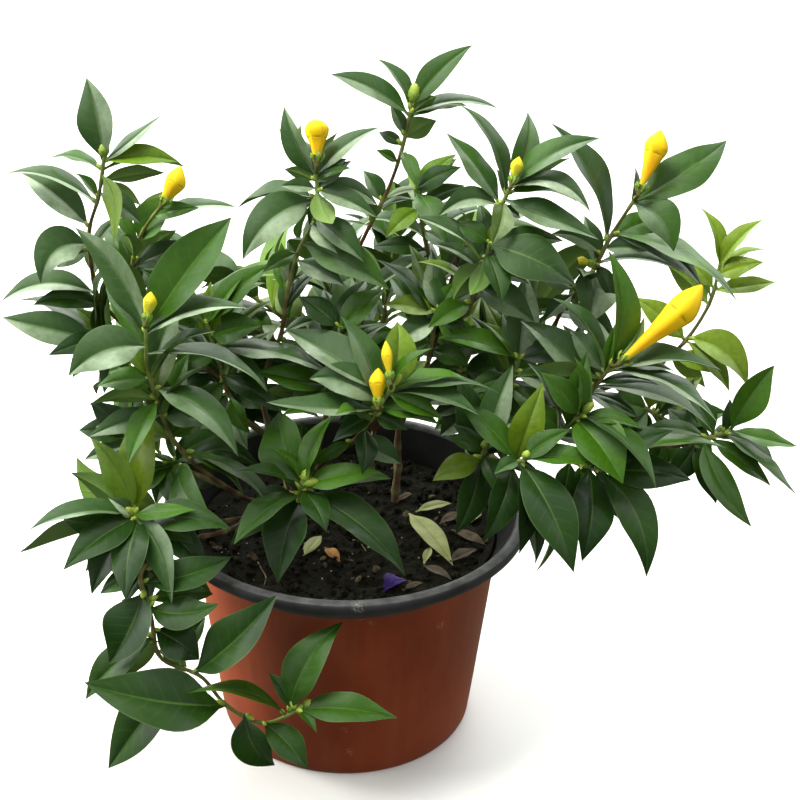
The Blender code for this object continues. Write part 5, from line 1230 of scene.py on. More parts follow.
def clear_blade(owner, blades, crowd):
    """The first of the blades that is clear of the crowd, which it joins, or None."""
    for own in (True, False):
        for blade in blades:
            if (blade.tip - blade.root).length < SHORTEST_LEAF:
                continue
            swollen = blade_solid(blade, CLEARANCE)
            if min(vert.z for vert in swollen[0]) < LOWEST_LEAF:
                continue
            outer = blade_solid(blade, CLEARANCE, OUTER_FROM)
            if is_clear(placed(owner, swollen, outer), crowd, own):
                crowd.append(placed(owner, blade_solid(blade), blade_solid(blade, 0, OUTER_FROM)))
                return blade
    return None


def in_crown(point):
    """Whether a point is seen inside the crown's outline."""
    u, v = pixel_of(point)
    inside = False
    for (a_u, a_v), (b_u, b_v) in zip(CROWN, CROWN[1:] + CROWN[:1]):
        if (a_v > v) != (b_v > v) and u < a_u + (b_u - a_u) * (v - a_v) / (b_v - a_v):
            inside = not inside
    return inside


def nearest_share(stem, u, v):
    """The share of a stem's length at which it is seen nearest to a pixel."""
    shares = [count / SHARE_STEPS for count in range(FIRST_STEP, SHARE_STEPS)]

    def miss(share):
        at = pixel_of(along(stem, share)[0])
        return math.hypot(at[0] - u, at[1] - v)

    return min(shares, key=miss)


def charted_blades(row, stem):
    """A leaf of the table, then the ways to bend it."""
    u, v, tip_u, tip_v, width, lean, side, *middle = row
    place = (tip_u + tip_v) % (2 * STAGGER_PLACES + 1) - STAGGER_PLACES
    stagger = STAGGER * place / STAGGER_PLACES / path_length(stem)
    root = along(stem, min(LAST_SHARE, nearest_share(stem, u, v) + stagger))[0]
    depth = depth_of(root)
    way = ray(tip_u, tip_v)
    reach = (EYE + way * depth - root).length
    for more, arch, share in LEAF_TRIES:
        tip = EYE + way * (depth - reach * math.tan(math.radians(lean + more)))
        tip = root.lerp(tip, share)
        chord = tip - root
        to_eye = (EYE - root).normalized()
        facing = (to_eye - chord * (to_eye.dot(chord) / chord.length_squared)).normalized()
        rise = chord.cross(facing).normalized()
        if rise.dot(Vector((root.x, root.y, 0)).normalized() * OUTWARD + Vector((0, 0, 1))) < 0:
            rise = -rise
        shown = width * depth / FOCAL_PX
        full = max(shown / MOST_FACING, WIDTH_TO_LENGTH * chord.length)
        turn = side * shown / full
        normal = (facing * turn + rise * math.sqrt(1 - turn ** 2)).normalized()
        bend = normal * (chord.length * BOW_TO_LENGTH)
        if middle:
            halfway = root + chord / 2
            bend = EYE + ray(*middle) * depth_of(halfway) - halfway
            bend -= chord * (bend.dot(chord) / chord.length_squared)
            bend += facing * (chord.length * BOW_TO_LENGTH * turn)
        yield Blade(root, tip, normal, full, bend * arch)


def ruled_blades(stem, share, bearing, spread, length, width_ratio):
    """A leaf set at a bearing round its stem and spread from it, then the ways to bend it."""
    root, onward = along(stem, share)
    level = onward.cross(Vector((0, 0, 1)))
    if level.length < LEVEL_LEAST:
        level = onward.cross(Vector((0, 1, 0)))
    level.normalize()
    over = level.cross(onward).normalized()
    for turn, rise, part in RULE_TRIES:
        angle = math.radians(bearing + turn)
        away = level * math.cos(angle) + over * math.sin(angle)
        opened = math.radians(spread - rise)
        way = onward * math.cos(opened) + away * math.sin(opened)
        way.z += RULE_LIFT
        way.normalize()
        chord = way * length * part
        upper = RULE_UP + onward * RULE_ALONG
        normal = (upper - way * upper.dot(way)).normalized()
        if in_crown(root + chord) and in_crown(root + chord * CROWN_CHECK):
            arch = normal * (chord.length * BOW_TO_LENGTH)
            yield Blade(root, root + chord, normal, chord.length * width_ratio, arch)


def whole_path(shoot):
    """A shoot's lead and stem as one curve, and how far along it the stem starts."""
    points = [seen(*point) for point in shoot.lead + shoot.path]
    return split_curve(points, points[len(shoot.lead) - 1])


def split_curve(points, at):
    curve = curve_through(points)
    shares = [count / SHARE_STEPS for count in range(1, SHARE_STEPS)]
    return curve, path_length(curve) * min(shares, key=lambda share: (along(curve, share)[0] - at).length)


def back_path(bearing, reach, height):
    start = seen(*WOODS["wood_back"][-1])
    angle = math.radians(bearing)
    end = Vector((math.cos(angle) * reach, math.sin(angle) * reach, height)) * MM
    arch = (end - start).length * BACK_ARCH
    points = []
    for t in BACK_SHARES:
        points.append(start.lerp(end, t) + Vector((0, 0, arch * 4 * t * (1 - t))))
    return split_curve(points, points[2])


def bud_axis(stem, row):
    """Where a bud grows from, its foot, its tip and its radius."""
    u, v, tip_u, tip_v, width, colour = row
    at = nearest_share(stem, u, v)
    start = along(stem, at)[0] if colour != "green" else stem[-1]
    depth = depth_of(start)
    foot = EYE + ray(u, v) * depth
    tip = EYE + ray(tip_u, tip_v) * depth
    radius = width * depth / FOCAL_PX / 2
    if colour == "green":
        return along(stem, max(LOWEST_BUD, at))[0], foot, tip, radius
    toward = (EYE - foot).normalized() * BUD_FORWARD
    return start, foot + toward, tip + toward, radius


def calyx_path(start, foot, way):
    """The points of a yellow bud's stalk, the last of which is the top of its calyx."""
    return [start, foot - way * CALYX_LENGTH * CALYX_BELOW, foot, foot + way * CALYX_LENGTH * CALYX_ABOVE]


def bud_solids(stem, row):
    """The green solid of a bud, and its coloured one or None."""
    start, foot, tip, radius = bud_axis(stem, row)
    axis = tip - foot
    if row[5] == "green":
        points = [start] + [foot + axis * t for t, share in BUD_GREEN]
        return tube(points, [BUD_STALK_RADIUS] + [radius * share for t, share in BUD_GREEN]), None
    way = axis.normalized()
    bloom = foot + way * (CALYX_LENGTH * CALYX_ABOVE + GAP)
    length = tip - bloom
    neck = BUD_YELLOW[0][1] * radius
    radii = [BUD_STALK_RADIUS, TIP_RADIUS * STALK_TOP, neck * CALYX_FOOT, neck * CALYX_RIM]
    green = tube(calyx_path(start, foot, way), radii)
    points = [bloom + length * t for t, share in BUD_YELLOW]
    return green, tube(points, [radius * share for t, share in BUD_YELLOW], BUD_SIDES)


def sight_lines(bloom):
    """Rods from a bud toward the eye, which leaves keep clear of so that the bud shows."""
    rings = [bloom[start:start + BUD_SIDES] for start in range(0, len(bloom) - 1, BUD_SIDES)]
    for ring in rings[1:]:
        middle = sum(ring, Vector()) / BUD_SIDES
        way = (EYE - middle).normalized()
        radius = (ring[0] - middle).length
        start = middle + way * (radius + SIGHT_FROM)
        yield tube([start, start + way * SIGHT_LENGTH], [radius * SIGHT_WIDTH] * 2)


class Leaf(NamedTuple):
    """A blade with its look: how young it is, with painted light shining through some inner leaves, how
    light its green is, with painted light, shade and sheen, and a number for chance.
    """

    blade: Blade
    youth_and_lit_through: float
    light: float
    seed: int


class Growth(NamedTuple):
    """What one node of the frame is made of: curves with their radii, leaves and buds."""

    stems: list
    leaves: list
    buds: list


class Bloom(NamedTuple):
    """A yellow bud: its half width from foot to tip, where its lobes start, its lean and its ripeness."""

    outline: tuple
    crease: float
    lean: float
    ripe: float


HOODED = Bloom(
    ((0, 0.34), (0.2, 0.5), (0.38, 0.67), (0.48, 0.81), (0.58, 0.93), (0.68, 1.0), (0.78, 0.97),
     (0.87, 0.83), (0.94, 0.6), (0.98, 0.36), (1, 0)),
    0.48, 0.4, 1,
)
LONG = Bloom(
    ((0, 0.24), (0.25, 0.45), (0.5, 0.75), (0.64, 0.96), (0.72, 1.0), (0.83, 0.8), (0.93, 0.42), (1, 0.07)),
    0.64, 3.0, 1,
)
POINTED = Bloom(
    ((0, 0.42), (0.2, 0.66), (0.4, 0.9), (0.54, 1.0), (0.7, 0.86), (0.84, 0.54), (0.94, 0.24), (1, 0)),
    0.5, 0.9, 0.2,
)
BLOOMS = {
    "centre_left_bud_flower_1": HOODED,
    "upper_right_bud_flower_1": LONG._replace(crease=0.58, lean=2.2),
    "big_bud_flower_1": LONG,
    "left_second_flower_1": POINTED._replace(ripe=0.85, lean=2.0),
    "centre_buds_flower_1": POINTED._replace(ripe=0.7),
    "centre_buds_flower_2": POINTED._replace(ripe=0.85),
}


def youth_and_lit_through_of(name, row, index):
    """How young a leaf looks, from 0 for dark green to 1 for lime. Some inner leaves get lime as painted
    light shining through them.
    """
    if name == FRESH_SHOOT:
        return FRESH_YOUTH
    if row:
        return YOUNG.get(row[2:4], 0)
    return max(0, random.Random(index + SEED).uniform(*INNER_LIT_THROUGH))


def points_away(blade):
    """Whether a leaf points away from the eye or across its view, and so stays behind the charted ones."""
    chord = (blade.tip - blade.root).normalized()
    return chord.dot((EYE - blade.root).normalized()) < MOST_TOWARD


def light_of(row, blade, index):
    """How light a leaf's green is, from 0 to 1, with painted light and shade, and above 1 how much painted
    sheen it has.
    """
    if row and row[2:4] in LIGHT:
        return LIGHT[row[2:4]]
    # Painted light: the higher a leaf stands, the lighter its green and the likelier its painted sheen
    height = (blade.root.lerp(blade.tip, 0.5).z - LIGHT_FOOT) / LIGHT_RISE
    chance = random.Random(index)
    green = LOW_LIGHT + HIGH_LIGHT * height + chance.uniform(*LIGHT_CHANCE)
    if chance.random() < SHEEN_SHARE * height:
        return 1 + chance.uniform(*SHEEN_RANGE)
    return min(1, max(0, green))


def layout(obstacles):
    """Places every twig, stem, bud and leaf as the frame has them, and gives what each node is made of."""
    chance = random.Random(SEED)
    crowd = [placed(name, solid) for name, solid in obstacles]
    sights = []
    growths = {name: Growth([], [], []) for name in WOODS}
    solids = {name: [] for name in WOODS}
    stems = {}
    for name, path in WOODS.items():
        foot = seen(*path[0])
        under = foot - Vector((0, 0, WOOD_DEPTH))
        peg = tube([under, foot + Vector((0, 0, PEG_ABOVE))], [WOOD_RADIUS] * 2)
        points = [foot + Vector((0, 0, TRUNK_FROM))] + [seen(*point) for point in path[1:]]
        curve = curve_through(points)
        solids[name].extend([peg, tube(curve, taper(curve, WOOD_RADIUS, LEAD_RADIUS))])
        growths[name].stems.append(([under] + curve, WOOD_RADIUS, THIN * LEAD_RADIUS))
    paths = [(shoot.name, shoot.wood, whole_path(shoot)) for shoot in SHOOTS]
    paths += [(row[0], "wood_back", back_path(*row[1:4])) for row in BACK_SHOOTS]
    for name, wood, (curve, start) in paths:
        lead = cut_path(curve, 0, start - GAP)
        stem = cut_path(curve, start, TO_END)
        stems[name] = stem
        solids[wood].append(tube(lead, taper(lead, LEAD_RADIUS, FOOT_RADIUS)))
        solids[name] = [tube(stem, taper(stem, FOOT_RADIUS, TIP_RADIUS))]
        growths[wood].stems.append((lead, THIN * LEAD_RADIUS, THIN * FOOT_RADIUS))
        growths[name] = Growth([(stem, THIN * FOOT_RADIUS, THIN * TIP_RADIUS)], [], [])
    for shoot in SHOOTS:
        for index, row in enumerate(shoot.buds):
            green, bloom = bud_solids(stems[shoot.name], row)
            solids[shoot.name].append(green)
            growths[shoot.name].buds.append((row, index))
            if bloom:
                solids[f"{shoot.name}_flower_{index + 1}"] = [bloom]
                sights += sight_lines(bloom[0])
    for name, parts in solids.items():
        crowd += [placed(name, part) for part in parts]
    crowd += [placed(SIGHT, line) for line in sights]
    blades = []

    def put(name, row, tries):
        blades.append((name, row, clear_blade(name, tries, crowd)))

    for shoot in SHOOTS:
        for row in shoot.leaves:
            put(shoot.name, row, list(charted_blades(row, stems[shoot.name])))
    for name, _, _, _, count in BACK_SHOOTS:
        for index in range(count):
            share = BACK_LEAVES_FROM + BACK_LEAVES_OVER * (index // 2) / (count / 2 - 1)
            bearing = 90 * (index // 2) + 180 * (index % 2) + chance.uniform(*BACK_TURN)
            spread = BACK_SPREAD - TIP_NARROWER * share + chance.uniform(*SPREAD_CHANCE)
            size = chance.uniform(*BACK_LENGTH) * MM, chance.uniform(*RULE_WIDTH)
            put(name, None, list(ruled_blades(stems[name], share, bearing, spread, *size)))
    for shoot in SHOOTS:
        for index in range(shoot.extra):
            share = EXTRA_FROM + EXTRA_OVER * (index + 0.5) / shoot.extra
            bearing = EXTRA_BEARINGS[index % 2] + chance.uniform(*EXTRA_TURN)
            size = chance.uniform(*EXTRA_LENGTH) * MM, chance.uniform(*RULE_WIDTH)
            put(shoot.name, None, list(ruled_blades(stems[shoot.name], share, bearing, EXTRA_SPREAD, *size)))
    for name, rows in FINE_LEAVES:
        for row in rows:
            put(name, row, list(charted_blades(row, stems[name])))
    for name, _, (curve, _) in paths:
        for _ in range(FILLERS):
            share = chance.uniform(*FILLER_SHARES)
            size = chance.uniform(*FILLER_LENGTH) * MM, chance.uniform(*FILLER_WIDTH)
            tries = ruled_blades(curve, share, chance.uniform(0, 360), chance.uniform(*FILLER_SPREAD), *size)
            put(name, None, [blade for blade in tries if points_away(blade)])
    for index, (name, row, blade) in enumerate(blades):
        if blade:
            leaf = Leaf(blade, youth_and_lit_through_of(name, row, index), light_of(row, blade, index), index)
            growths[name].leaves.append(leaf)
    return growths, stems


def litter_blade(u, v, tip_u, tip_v, width):
    """A leaf that lies on the soil, from the pixels of its ends and its width in mm."""
    ends = []
    for at_u, at_v in ((u, v), (tip_u, tip_v)):
        way = ray(at_u, at_v)
        ends.append(EYE + way * ((SOIL_TOP + LITTER_LIFT - EYE.z) / way.z))
    chord = ends[1] - ends[0]
    up = Vector((0, 0, 1))
    return Blade(ends[0], ends[1], up, width * MM, up * (chord.length * LITTER_ARCH))


class Build:
    """A mesh in the making: points, faces, each face's finish and each point's marks."""

    def __init__(self):
        self.verts = []
        self.faces = []
        self.finishes = []
        self.places = []
        self.tones = []

    def point(self, where, place=(0, 0, 0), tone=0.0):
        self.verts.append(tuple(where))
        self.places.append(tuple(place))
        self.tones.append(tone)
        return len(self.verts) - 1

    def face(self, corners, finish=0):
        self.faces.append(tuple(corners))
        self.finishes.append(finish)

    def band(self, rings, finish=0):
        """Joins rings of points, each a list of indices of the same length."""
        for first, second in zip(rings, rings[1:]):
            for corner in range(len(first)):
                after = (corner + 1) % len(first)
                self.face((first[corner], first[after], second[after], second[corner]), finish)

    def rings(self, rings, finish=0):
        """Joins rings into a closed skin with flat ends."""
        self.band(rings, finish)
        self.face(rings[0][::-1], finish)
        self.face(rings[-1], finish)

    def cap(self, ring, middle, finish=0):
        """Closes a ring with triangles to a point."""
        centre = self.point(middle)
        for corner in range(len(ring)):
            self.face((ring[corner], ring[(corner + 1) % len(ring)], centre), finish)

    def piece(self, name, materials):
        mesh = bpy.data.meshes.new(name)
        mesh.from_pydata(self.verts, [], self.faces)
        mesh.polygons.foreach_set("material_index", self.finishes)
        mesh.attributes.new("place", "FLOAT_VECTOR", "POINT").data.foreach_set(
            "vector", [value for place in self.places for value in place])
        mesh.attributes.new("tone", "FLOAT", "POINT").data.foreach_set("value", self.tones)
        for material in materials:
            mesh.materials.append(material)
        work = bmesh.new()
        work.from_mesh(mesh)
        bmesh.ops.recalc_face_normals(work, faces=work.faces)
        work.to_mesh(mesh)
        work.free()
        for polygon in mesh.polygons:
            polygon.use_smooth = True
        mesh.set_sharp_from_angle(angle=SHARP_ANGLE)
        obj = bpy.data.objects.new(name, mesh)
        bpy.context.scene.collection.objects.link(obj)
        return obj


def smooth_value(table, t):
    """A value read from a table along a curve that passes through each of its points."""
    spots = [table[0]] + list(table) + [table[-1]]
    for before, here, there, after in zip(spots, spots[1:], spots[2:], spots[3:]):
        if t <= there[0]:
            break
    share = (t - here[0]) / (there[0] - here[0])
    into = (there[1] - before[1]) / max(there[0] - before[0], 1e-6) * (there[0] - here[0])
    out = (after[1] - here[1]) / max(after[0] - here[0], 1e-6) * (there[0] - here[0])
    square, cube = share ** 2, share ** 3
    return (here[1] * (2 * cube - 3 * square + 1) + into * (cube - 2 * square + share)
            + there[1] * (3 * square - 2 * cube) + out * (cube - square))


def twisted_frame(blade, t, twist):
    """A leaf's frame, turned round its midrib a little more toward the tip."""
    middle, side, up = leaf_frame(blade, t)
    angle = twist * (t - TWIST_FROM)
    turned = side * math.cos(angle) + up * math.sin(angle)
    return middle, turned, up * math.cos(angle) - side * math.sin(angle)


def add_leaf(build, leaf):
    """A thin curved leaf with a folded, waved blade, a raised midrib below and a short stalk."""
    blade, youth_and_lit_through, light, seed = leaf
    chance = random.Random(seed)
    fold = chance.uniform(*LEAF_FOLD)
    cup = chance.uniform(*LEAF_CUP)
    twist = chance.uniform(*LEAF_TWIST)
    wave = chance.uniform(*LEAF_WAVE)
    waves = chance.uniform(*LEAF_WAVES)
    phase = [chance.uniform(0, math.tau), chance.uniform(0, math.tau)]
    droop = chance.uniform(0, LEAF_DROOP) * (blade.tip - blade.root).length * 4
    # The half that faces the front carries the painted sheen
    sheen_side = 1 if leaf_frame(blade, 0.5)[1].dot(Vector(SHEEN_WAY)) > 0 else -1
    rings = []
    for station in range(LEAF_ROWS):
        t = LEAF_SPAN * (station / (LEAF_ROWS - 1)) ** ROW_CROWDING
        middle, side, up = twisted_frame(blade, t, twist)
        middle = middle - up * (droop * max(0, t - DROOP_FROM) ** 2)
        half = max(blade.width / 2 * smooth_value(LEAF_OUTLINE, t), STALK_HALF_WIDTH * LEAF_STALK * (1 - t))
        thick = LEAF_THICK * (1 - t / 2)
        if t <= STALK_END:
            thick = LEAF_THICK + (1 - t / STALK_END) * STALK_THICK
        above = []
        below = []
        for step in range(-LEAF_COLUMNS, LEAF_COLUMNS + 1):
            s = step / LEAF_COLUMNS
            way = phase[0] if s < 0 else phase[1]
            lift = fold * abs(s) - cup * s * s
            lift += wave * abs(s) ** WAVE_CROWDING * math.sin(math.tau * waves * t + way)
            lift *= half
            lift -= LEAF_GROOVE * math.exp(-(s / GROOVE_WIDTH) ** 2) * min(1, half / GROOVE_FULL)
            spot = middle + side * (half * s) + up * lift
            place = (s * sheen_side, t, light)
            rounded = math.sqrt(max(0.0, 1 - s * s)) if t < ROUND_UNTIL else 1 - EDGE_THIN * abs(s)
            above.append(build.point(spot + up * (thick / 2 * min(1, rounded)), place, youth_and_lit_through))
            if abs(s) < 1:
                rib = RIB_DEPTH * math.exp(-(s / RIB_WIDTH) ** 2) * (1 - t)
                below.append(build.point(spot - up * (thick / 2 * rounded + rib), place, youth_and_lit_through))
        rings.append((above, [above[0]] + below + [above[-1]]))
    middle, _, up = twisted_frame(blade, 1, twist)
    tip = build.point(middle - up * (droop * (1 - DROOP_FROM) ** 2), (0, 1, light), youth_and_lit_through)
    for (above, under), (next_above, next_under) in zip(rings, rings[1:]):
        for step in range(2 * LEAF_COLUMNS):
            build.face((above[step], above[step + 1], next_above[step + 1], next_above[step]), FINISH_TOP)
        for step in range(2 * LEAF_COLUMNS):
            build.face((under[step], next_under[step], next_under[step + 1], under[step + 1]), FINISH_UNDER)
    above, under = rings[-1]
    for step in range(2 * LEAF_COLUMNS):
        build.face((above[step], above[step + 1], tip), FINISH_TOP)
        build.face((under[step + 1], under[step], tip), FINISH_UNDER)
    above, under = rings[0]
    build.face(above + under[-2:0:-1], FINISH_UNDER)


def add_tube(build, points, radii, places, finish, sides=FINE_SIDES, bumps=None):
    """A round stem through points. Bumps changes the radius round it and along it."""
    rings = []
    for index, (centre, (normal, side)) in enumerate(zip(points, across_path(points))):
        ring = []
        for angle in around(sides):
            radius = radii[index]
            if bumps:
                radius *= bumps(angle, index)
            spot = centre + (normal * math.cos(angle) + side * math.sin(angle)) * radius
            ring.append(build.point(spot, places[index], places[index][2]))
        rings.append(ring)
    build.rings(rings, finish)


def walked(points):
    """How far along a path each of its points is."""
    distances = [0]
    for before, after in zip(points, points[1:]):
        distances.append(distances[-1] + (after - before).length)
    return distances


def fine_stem(build, stem, first, last, knots, tones, rough, seed):
    """A smooth stem with a swelling at each knot, given as shares of its length."""
    chance = random.Random(seed)
    curve = curve_through(stem, FINE_STEP)
    total = path_length(curve)
    radii = []
    places = []
    for done in walked(curve):
        share = done / total
        swell = min(1, sum(math.exp(-((share - knot) * total / KNOT_LENGTH) ** 2) for knot in knots))
        radii.append((first + (last - first) * share) * (1 + KNOT_SWELL * swell))
        places.append((swell, done / BARK_UNIT, tones[0] + (tones[1] - tones[0]) * share))
    uneven = [chance.uniform(-rough, rough) for _ in range(len(curve) * FINE_SIDES)]

    def bumps(angle, index):
        corner = round(angle / math.tau * FINE_SIDES)
        return 1 + uneven[index * FINE_SIDES + corner % FINE_SIDES]

    add_tube(build, curve, radii, places, FINISH_TWIG, FINE_SIDES, bumps)


def spun(build, foot, way, profile, sides, radius_at, place_at, finish, lean=(1, 0)):
    """A bud's skin round an axis, shaped by a function of angle and share. Its tip may lean off the axis."""
    normal = way.orthogonal().normalized()
    if normal.dot(UPWARD) < 0:
        normal = -normal
    side = way.cross(normal).normalized()
    rings = []
    for t in profile:
        ring = []
        for angle in around(sides):
            radius, ahead = radius_at(angle, t)
            spot = foot + way * ahead + (normal * math.cos(angle) + side * math.sin(angle)) * radius
            spot += normal * (lean[1] * max(0, t - lean[0]) ** 2)
            ring.append(build.point(spot, *place_at(angle, t)))
        rings.append(ring)
    build.rings(rings, finish)


def add_green_bud(build, foot, tip, radius, seed):
    """A pointed green bud wrapped in overlapping scales."""
    axis = tip - foot
    length = axis.length
    turn = random.Random(seed).uniform(0, math.tau)

    def scale_at(angle, t):
        """How far along its scale a point is, from 0 to 1. The scales wind up the bud."""
        return (SCALES * (t * SCALE_WIND + (angle + turn) / math.tau)) % 1

    def radius_at(angle, t):
        step = SCALE_STEP * (1 - scale_at(angle, t)) - SCALE_SUNK
        return radius * smooth_value(GREEN_OUTLINE, t) * (1 + step), length * t

    def place_at(angle, t):
        return (scale_at(angle, t), t, 0), 0

    profile = [index / GREEN_ROWS for index in range(GREEN_ROWS)] + [GREEN_END]
    spun(build, foot, axis.normalized(), profile, GREEN_SIDES, radius_at, place_at, FINISH_BUD)


def add_calyx(build, start, foot, way, radius, seed):
    """A bud's stalk, ringed with small pointed sepals."""
    path = calyx_path(start, foot, way)
    neck = BUD_YELLOW[0][1] * radius
    curve = curve_through(path, CALYX_STEP)
    total = path_length(curve)
    radii = []
    places = []
    for done in walked(curve):
        near_cup = max(0.0, 1 - (total - done) / CALYX_LENGTH)
        stalk = TIP_RADIUS * (CALYX_STALK[0] + (CALYX_STALK[1] - CALYX_STALK[0]) * done / total)
        radii.append(stalk * (1 - near_cup) + neck * CUP_TO_NECK * near_cup)
        places.append((0, done / BARK_UNIT, CALYX_TONE))
    add_tube(build, curve, radii, places, FINISH_TWIG)
    normal = way.orthogonal().normalized()
    side = way.cross(normal)
    for index in range(SEPALS):
        angle = math.tau * (index + SEPAL_TURN) / SEPALS
        out = normal * math.cos(angle) + side * math.sin(angle)
        low = path[-1] - way * SEPAL_FOOT + out * neck * SEPAL_IN
        high = path[-1] + way * SEPAL_REACH + out * (neck * SEPAL_OUT)
        blade = Blade(low, high, -out, SEPAL_WIDTH, out * SEPAL_ARCH)
        add_leaf(build, Leaf(blade, SEPAL_YOUTH, SEPAL_LIGHT, seed * SEPAL_SEEDS + index))


def bloom_build(foot, tip, radius, seed, kind):
    """A closed yellow trumpet: a tube that widens, then five lobes folded over each other to a point."""
    build = Build()
    way = (tip - foot).normalized()
    start = foot + way * (CALYX_LENGTH * CALYX_ABOVE + GAP)
    length = (tip - start).length
    turn = random.Random(seed).uniform(0, math.tau)

    def lobe(angle, t):
        """How far round its own lobe a point is, from 0 to 1. The lobes wind a little round the bud."""
        return ((angle + turn) / math.tau * LOBES + LOBE_WIND * max(0, t - kind.crease)) % 1

    def crease(across, t, reach):
        """How near a point is to the crease at the foot of its lobe."""
        return math.exp(-((across - 0.5) / CREASE_HALF) ** 4 - ((t - kind.crease) / reach) ** 2)

    def past_crease(t, reach):
        return min(1, max(0, (t - kind.crease) / reach))

    def radius_at(angle, t):
        across = lobe(angle, t)
        rib = LOBE_RIB * math.cos(math.tau * across) * min(1, t * LOBE_RIB_RISE)
        overlap = LOBE_STEP * (0.5 - across) * past_crease(t, LOBE_OPENS)
        dent = -LOBE_DENT * crease(across, t, DENT_REACH)
        return radius * smooth_value(kind.outline, t) * (1 + rib + overlap + dent), length * t

    def place_at(angle, t):
        across = lobe(angle, t)
        edge = math.exp(-(min(across, 1 - across) / EDGE_WIDTH) ** 2) * past_crease(t, EDGE_OPENS)
        return (crease(across, t, MARK_REACH), t, 1 - kind.ripe), min(1, edge)

    even = [index / BLOOM_ROWS for index in range(BLOOM_ROWS)]
    at_crease = [kind.crease + step * CREASE_ROW for step in range(-CREASE_ROWS, CREASE_ROWS + 1)]
    profile = sorted(even + at_crease) + [BLOOM_END]
    spun(build, start, way, profile, BLOOM_SIDES, radius_at, place_at, 0, (kind.crease, radius * kind.lean))
    return build


def add_axil_bud(build, root, way, seed, large):
    """A tiny bud in the angle of a leaf."""
    chance = random.Random(seed)
    out = way.normalized() + Vector((chance.uniform(*BUD_LEAN), chance.uniform(*BUD_LEAN), BUD_RISE))
    out.normalize()
    size = chance.uniform(*(LARGE_BUD if large else SMALL_BUD)) * MM
    foot = root + out * BUD_LIFT
    add_green_bud(build, foot, foot + out * (size * BUD_LENGTH), size * BUD_RADIUS, seed + SCALE_SEED)


def nearest_root(curve, root):
    """The share of a curve's length that lies nearest to a point."""
    shares = [count / ROOT_STEPS for count in range(ROOT_STEPS + 1)]
    return min(shares, key=lambda share: (along(curve, share)[0] - root).length)


def shoot_piece(name, growth, stem, looks):
    """One leafy shoot with its stem, buds and leaves, or one wood with the twigs that it carries."""
    build = Build()
    for index, (curve, first, last) in enumerate(growth.stems):
        if name in WOODS:
            knots, tones, rough = WOOD_KNOTS, WOOD_TONES[min(index, 1)], WOOD_ROUGH
        else:
            knots = sorted({round(nearest_root(curve, leaf.blade.root), 3) for leaf in growth.leaves})
            tones, rough = STEM_TONES.get(name, STEM_TONE), STEM_ROUGH
        fine_stem(build, curve, first, last, knots, tones, rough, len(name) + index)
    for leaf in growth.leaves:
        add_leaf(build, leaf)
        if leaf.seed % 5 < BUDS_IN_FIVE or name in BUDDED:
            add_axil_bud(build, leaf.blade.root, leaf.blade.tip - leaf.blade.root, leaf.seed, name in BUDDED)
    for row, index in growth.buds:
        start, foot, tip, radius = bud_axis(stem, row)
        way = (tip - foot).normalized()
        if row[5] == "green":
            stalk = [start, foot, foot + way * STALK_INTO_BUD]
            add_tube(build, stalk, [BUD_STALK_RADIUS] * 3, [(0, 0, BUD_STALK_TONE)] * 3, FINISH_TWIG)
            add_green_bud(build, foot, tip, radius, index)
        else:
            add_calyx(build, start, foot, way, radius, index + len(name))
    return build.piece(name + "_fine", looks)


def colour(value):
    return (*value, 1) if isinstance(value, tuple) else value


class Nodes:
    """The shader nodes of one material or world, named by kind."""

    def __init__(self, tree):
        self.tree = tree

    def add(self, kind, output=0, inputs=(), **settings):
        node = self.tree.nodes.new("ShaderNode" + kind)
        for key, value in settings.items():
            setattr(node, key, value)
        for socket, value in dict(inputs).items():
            self.give(node.inputs[socket], value)
        return node.outputs[output]

    def give(self, socket, value):
        if isinstance(value, bpy.types.NodeSocket):
            self.tree.links.new(value, socket)
        else:
            socket.default_value = value

    def math(self, operation, a, b=0.0):
        return self.add("Math", 0, {0: a, 1: b}, operation=operation)

    def plus(self, a, b):
        return self.math("ADD", a, b)

    def times(self, a, b):
        return self.math("MULTIPLY", a, b)

    def fit(self, value, low, high, to_low=0.0, to_high=1.0):
        """A value carried from one range to another, with no more beyond its ends."""
        ends = {"From Min": low, "From Max": high, "To Min": to_low, "To Max": to_high}
        return self.add("MapRange", 0, {"Value": value, **ends})

    def spread(self, grain, to_low=0.0, to_high=1.0):
        """A grain carried to a range, which its usual values fill."""
        return self.fit(grain, *USUAL_GRAIN, to_low, to_high)

    def ramp(self, value, table):
        """A colour read from a table of places and colours."""
        node = self.tree.nodes.new("ShaderNodeValToRGB")
        stops = node.color_ramp.elements
        for stop, (place, shade) in zip((stops[0], stops[1]), (table[0], table[-1])):
            stop.position = place
            stop.color = colour(shade)
        for place, shade in table[1:-1]:
            stops.new(place).color = colour(shade)
        self.give(node.inputs[0], value)
        return node.outputs[0]


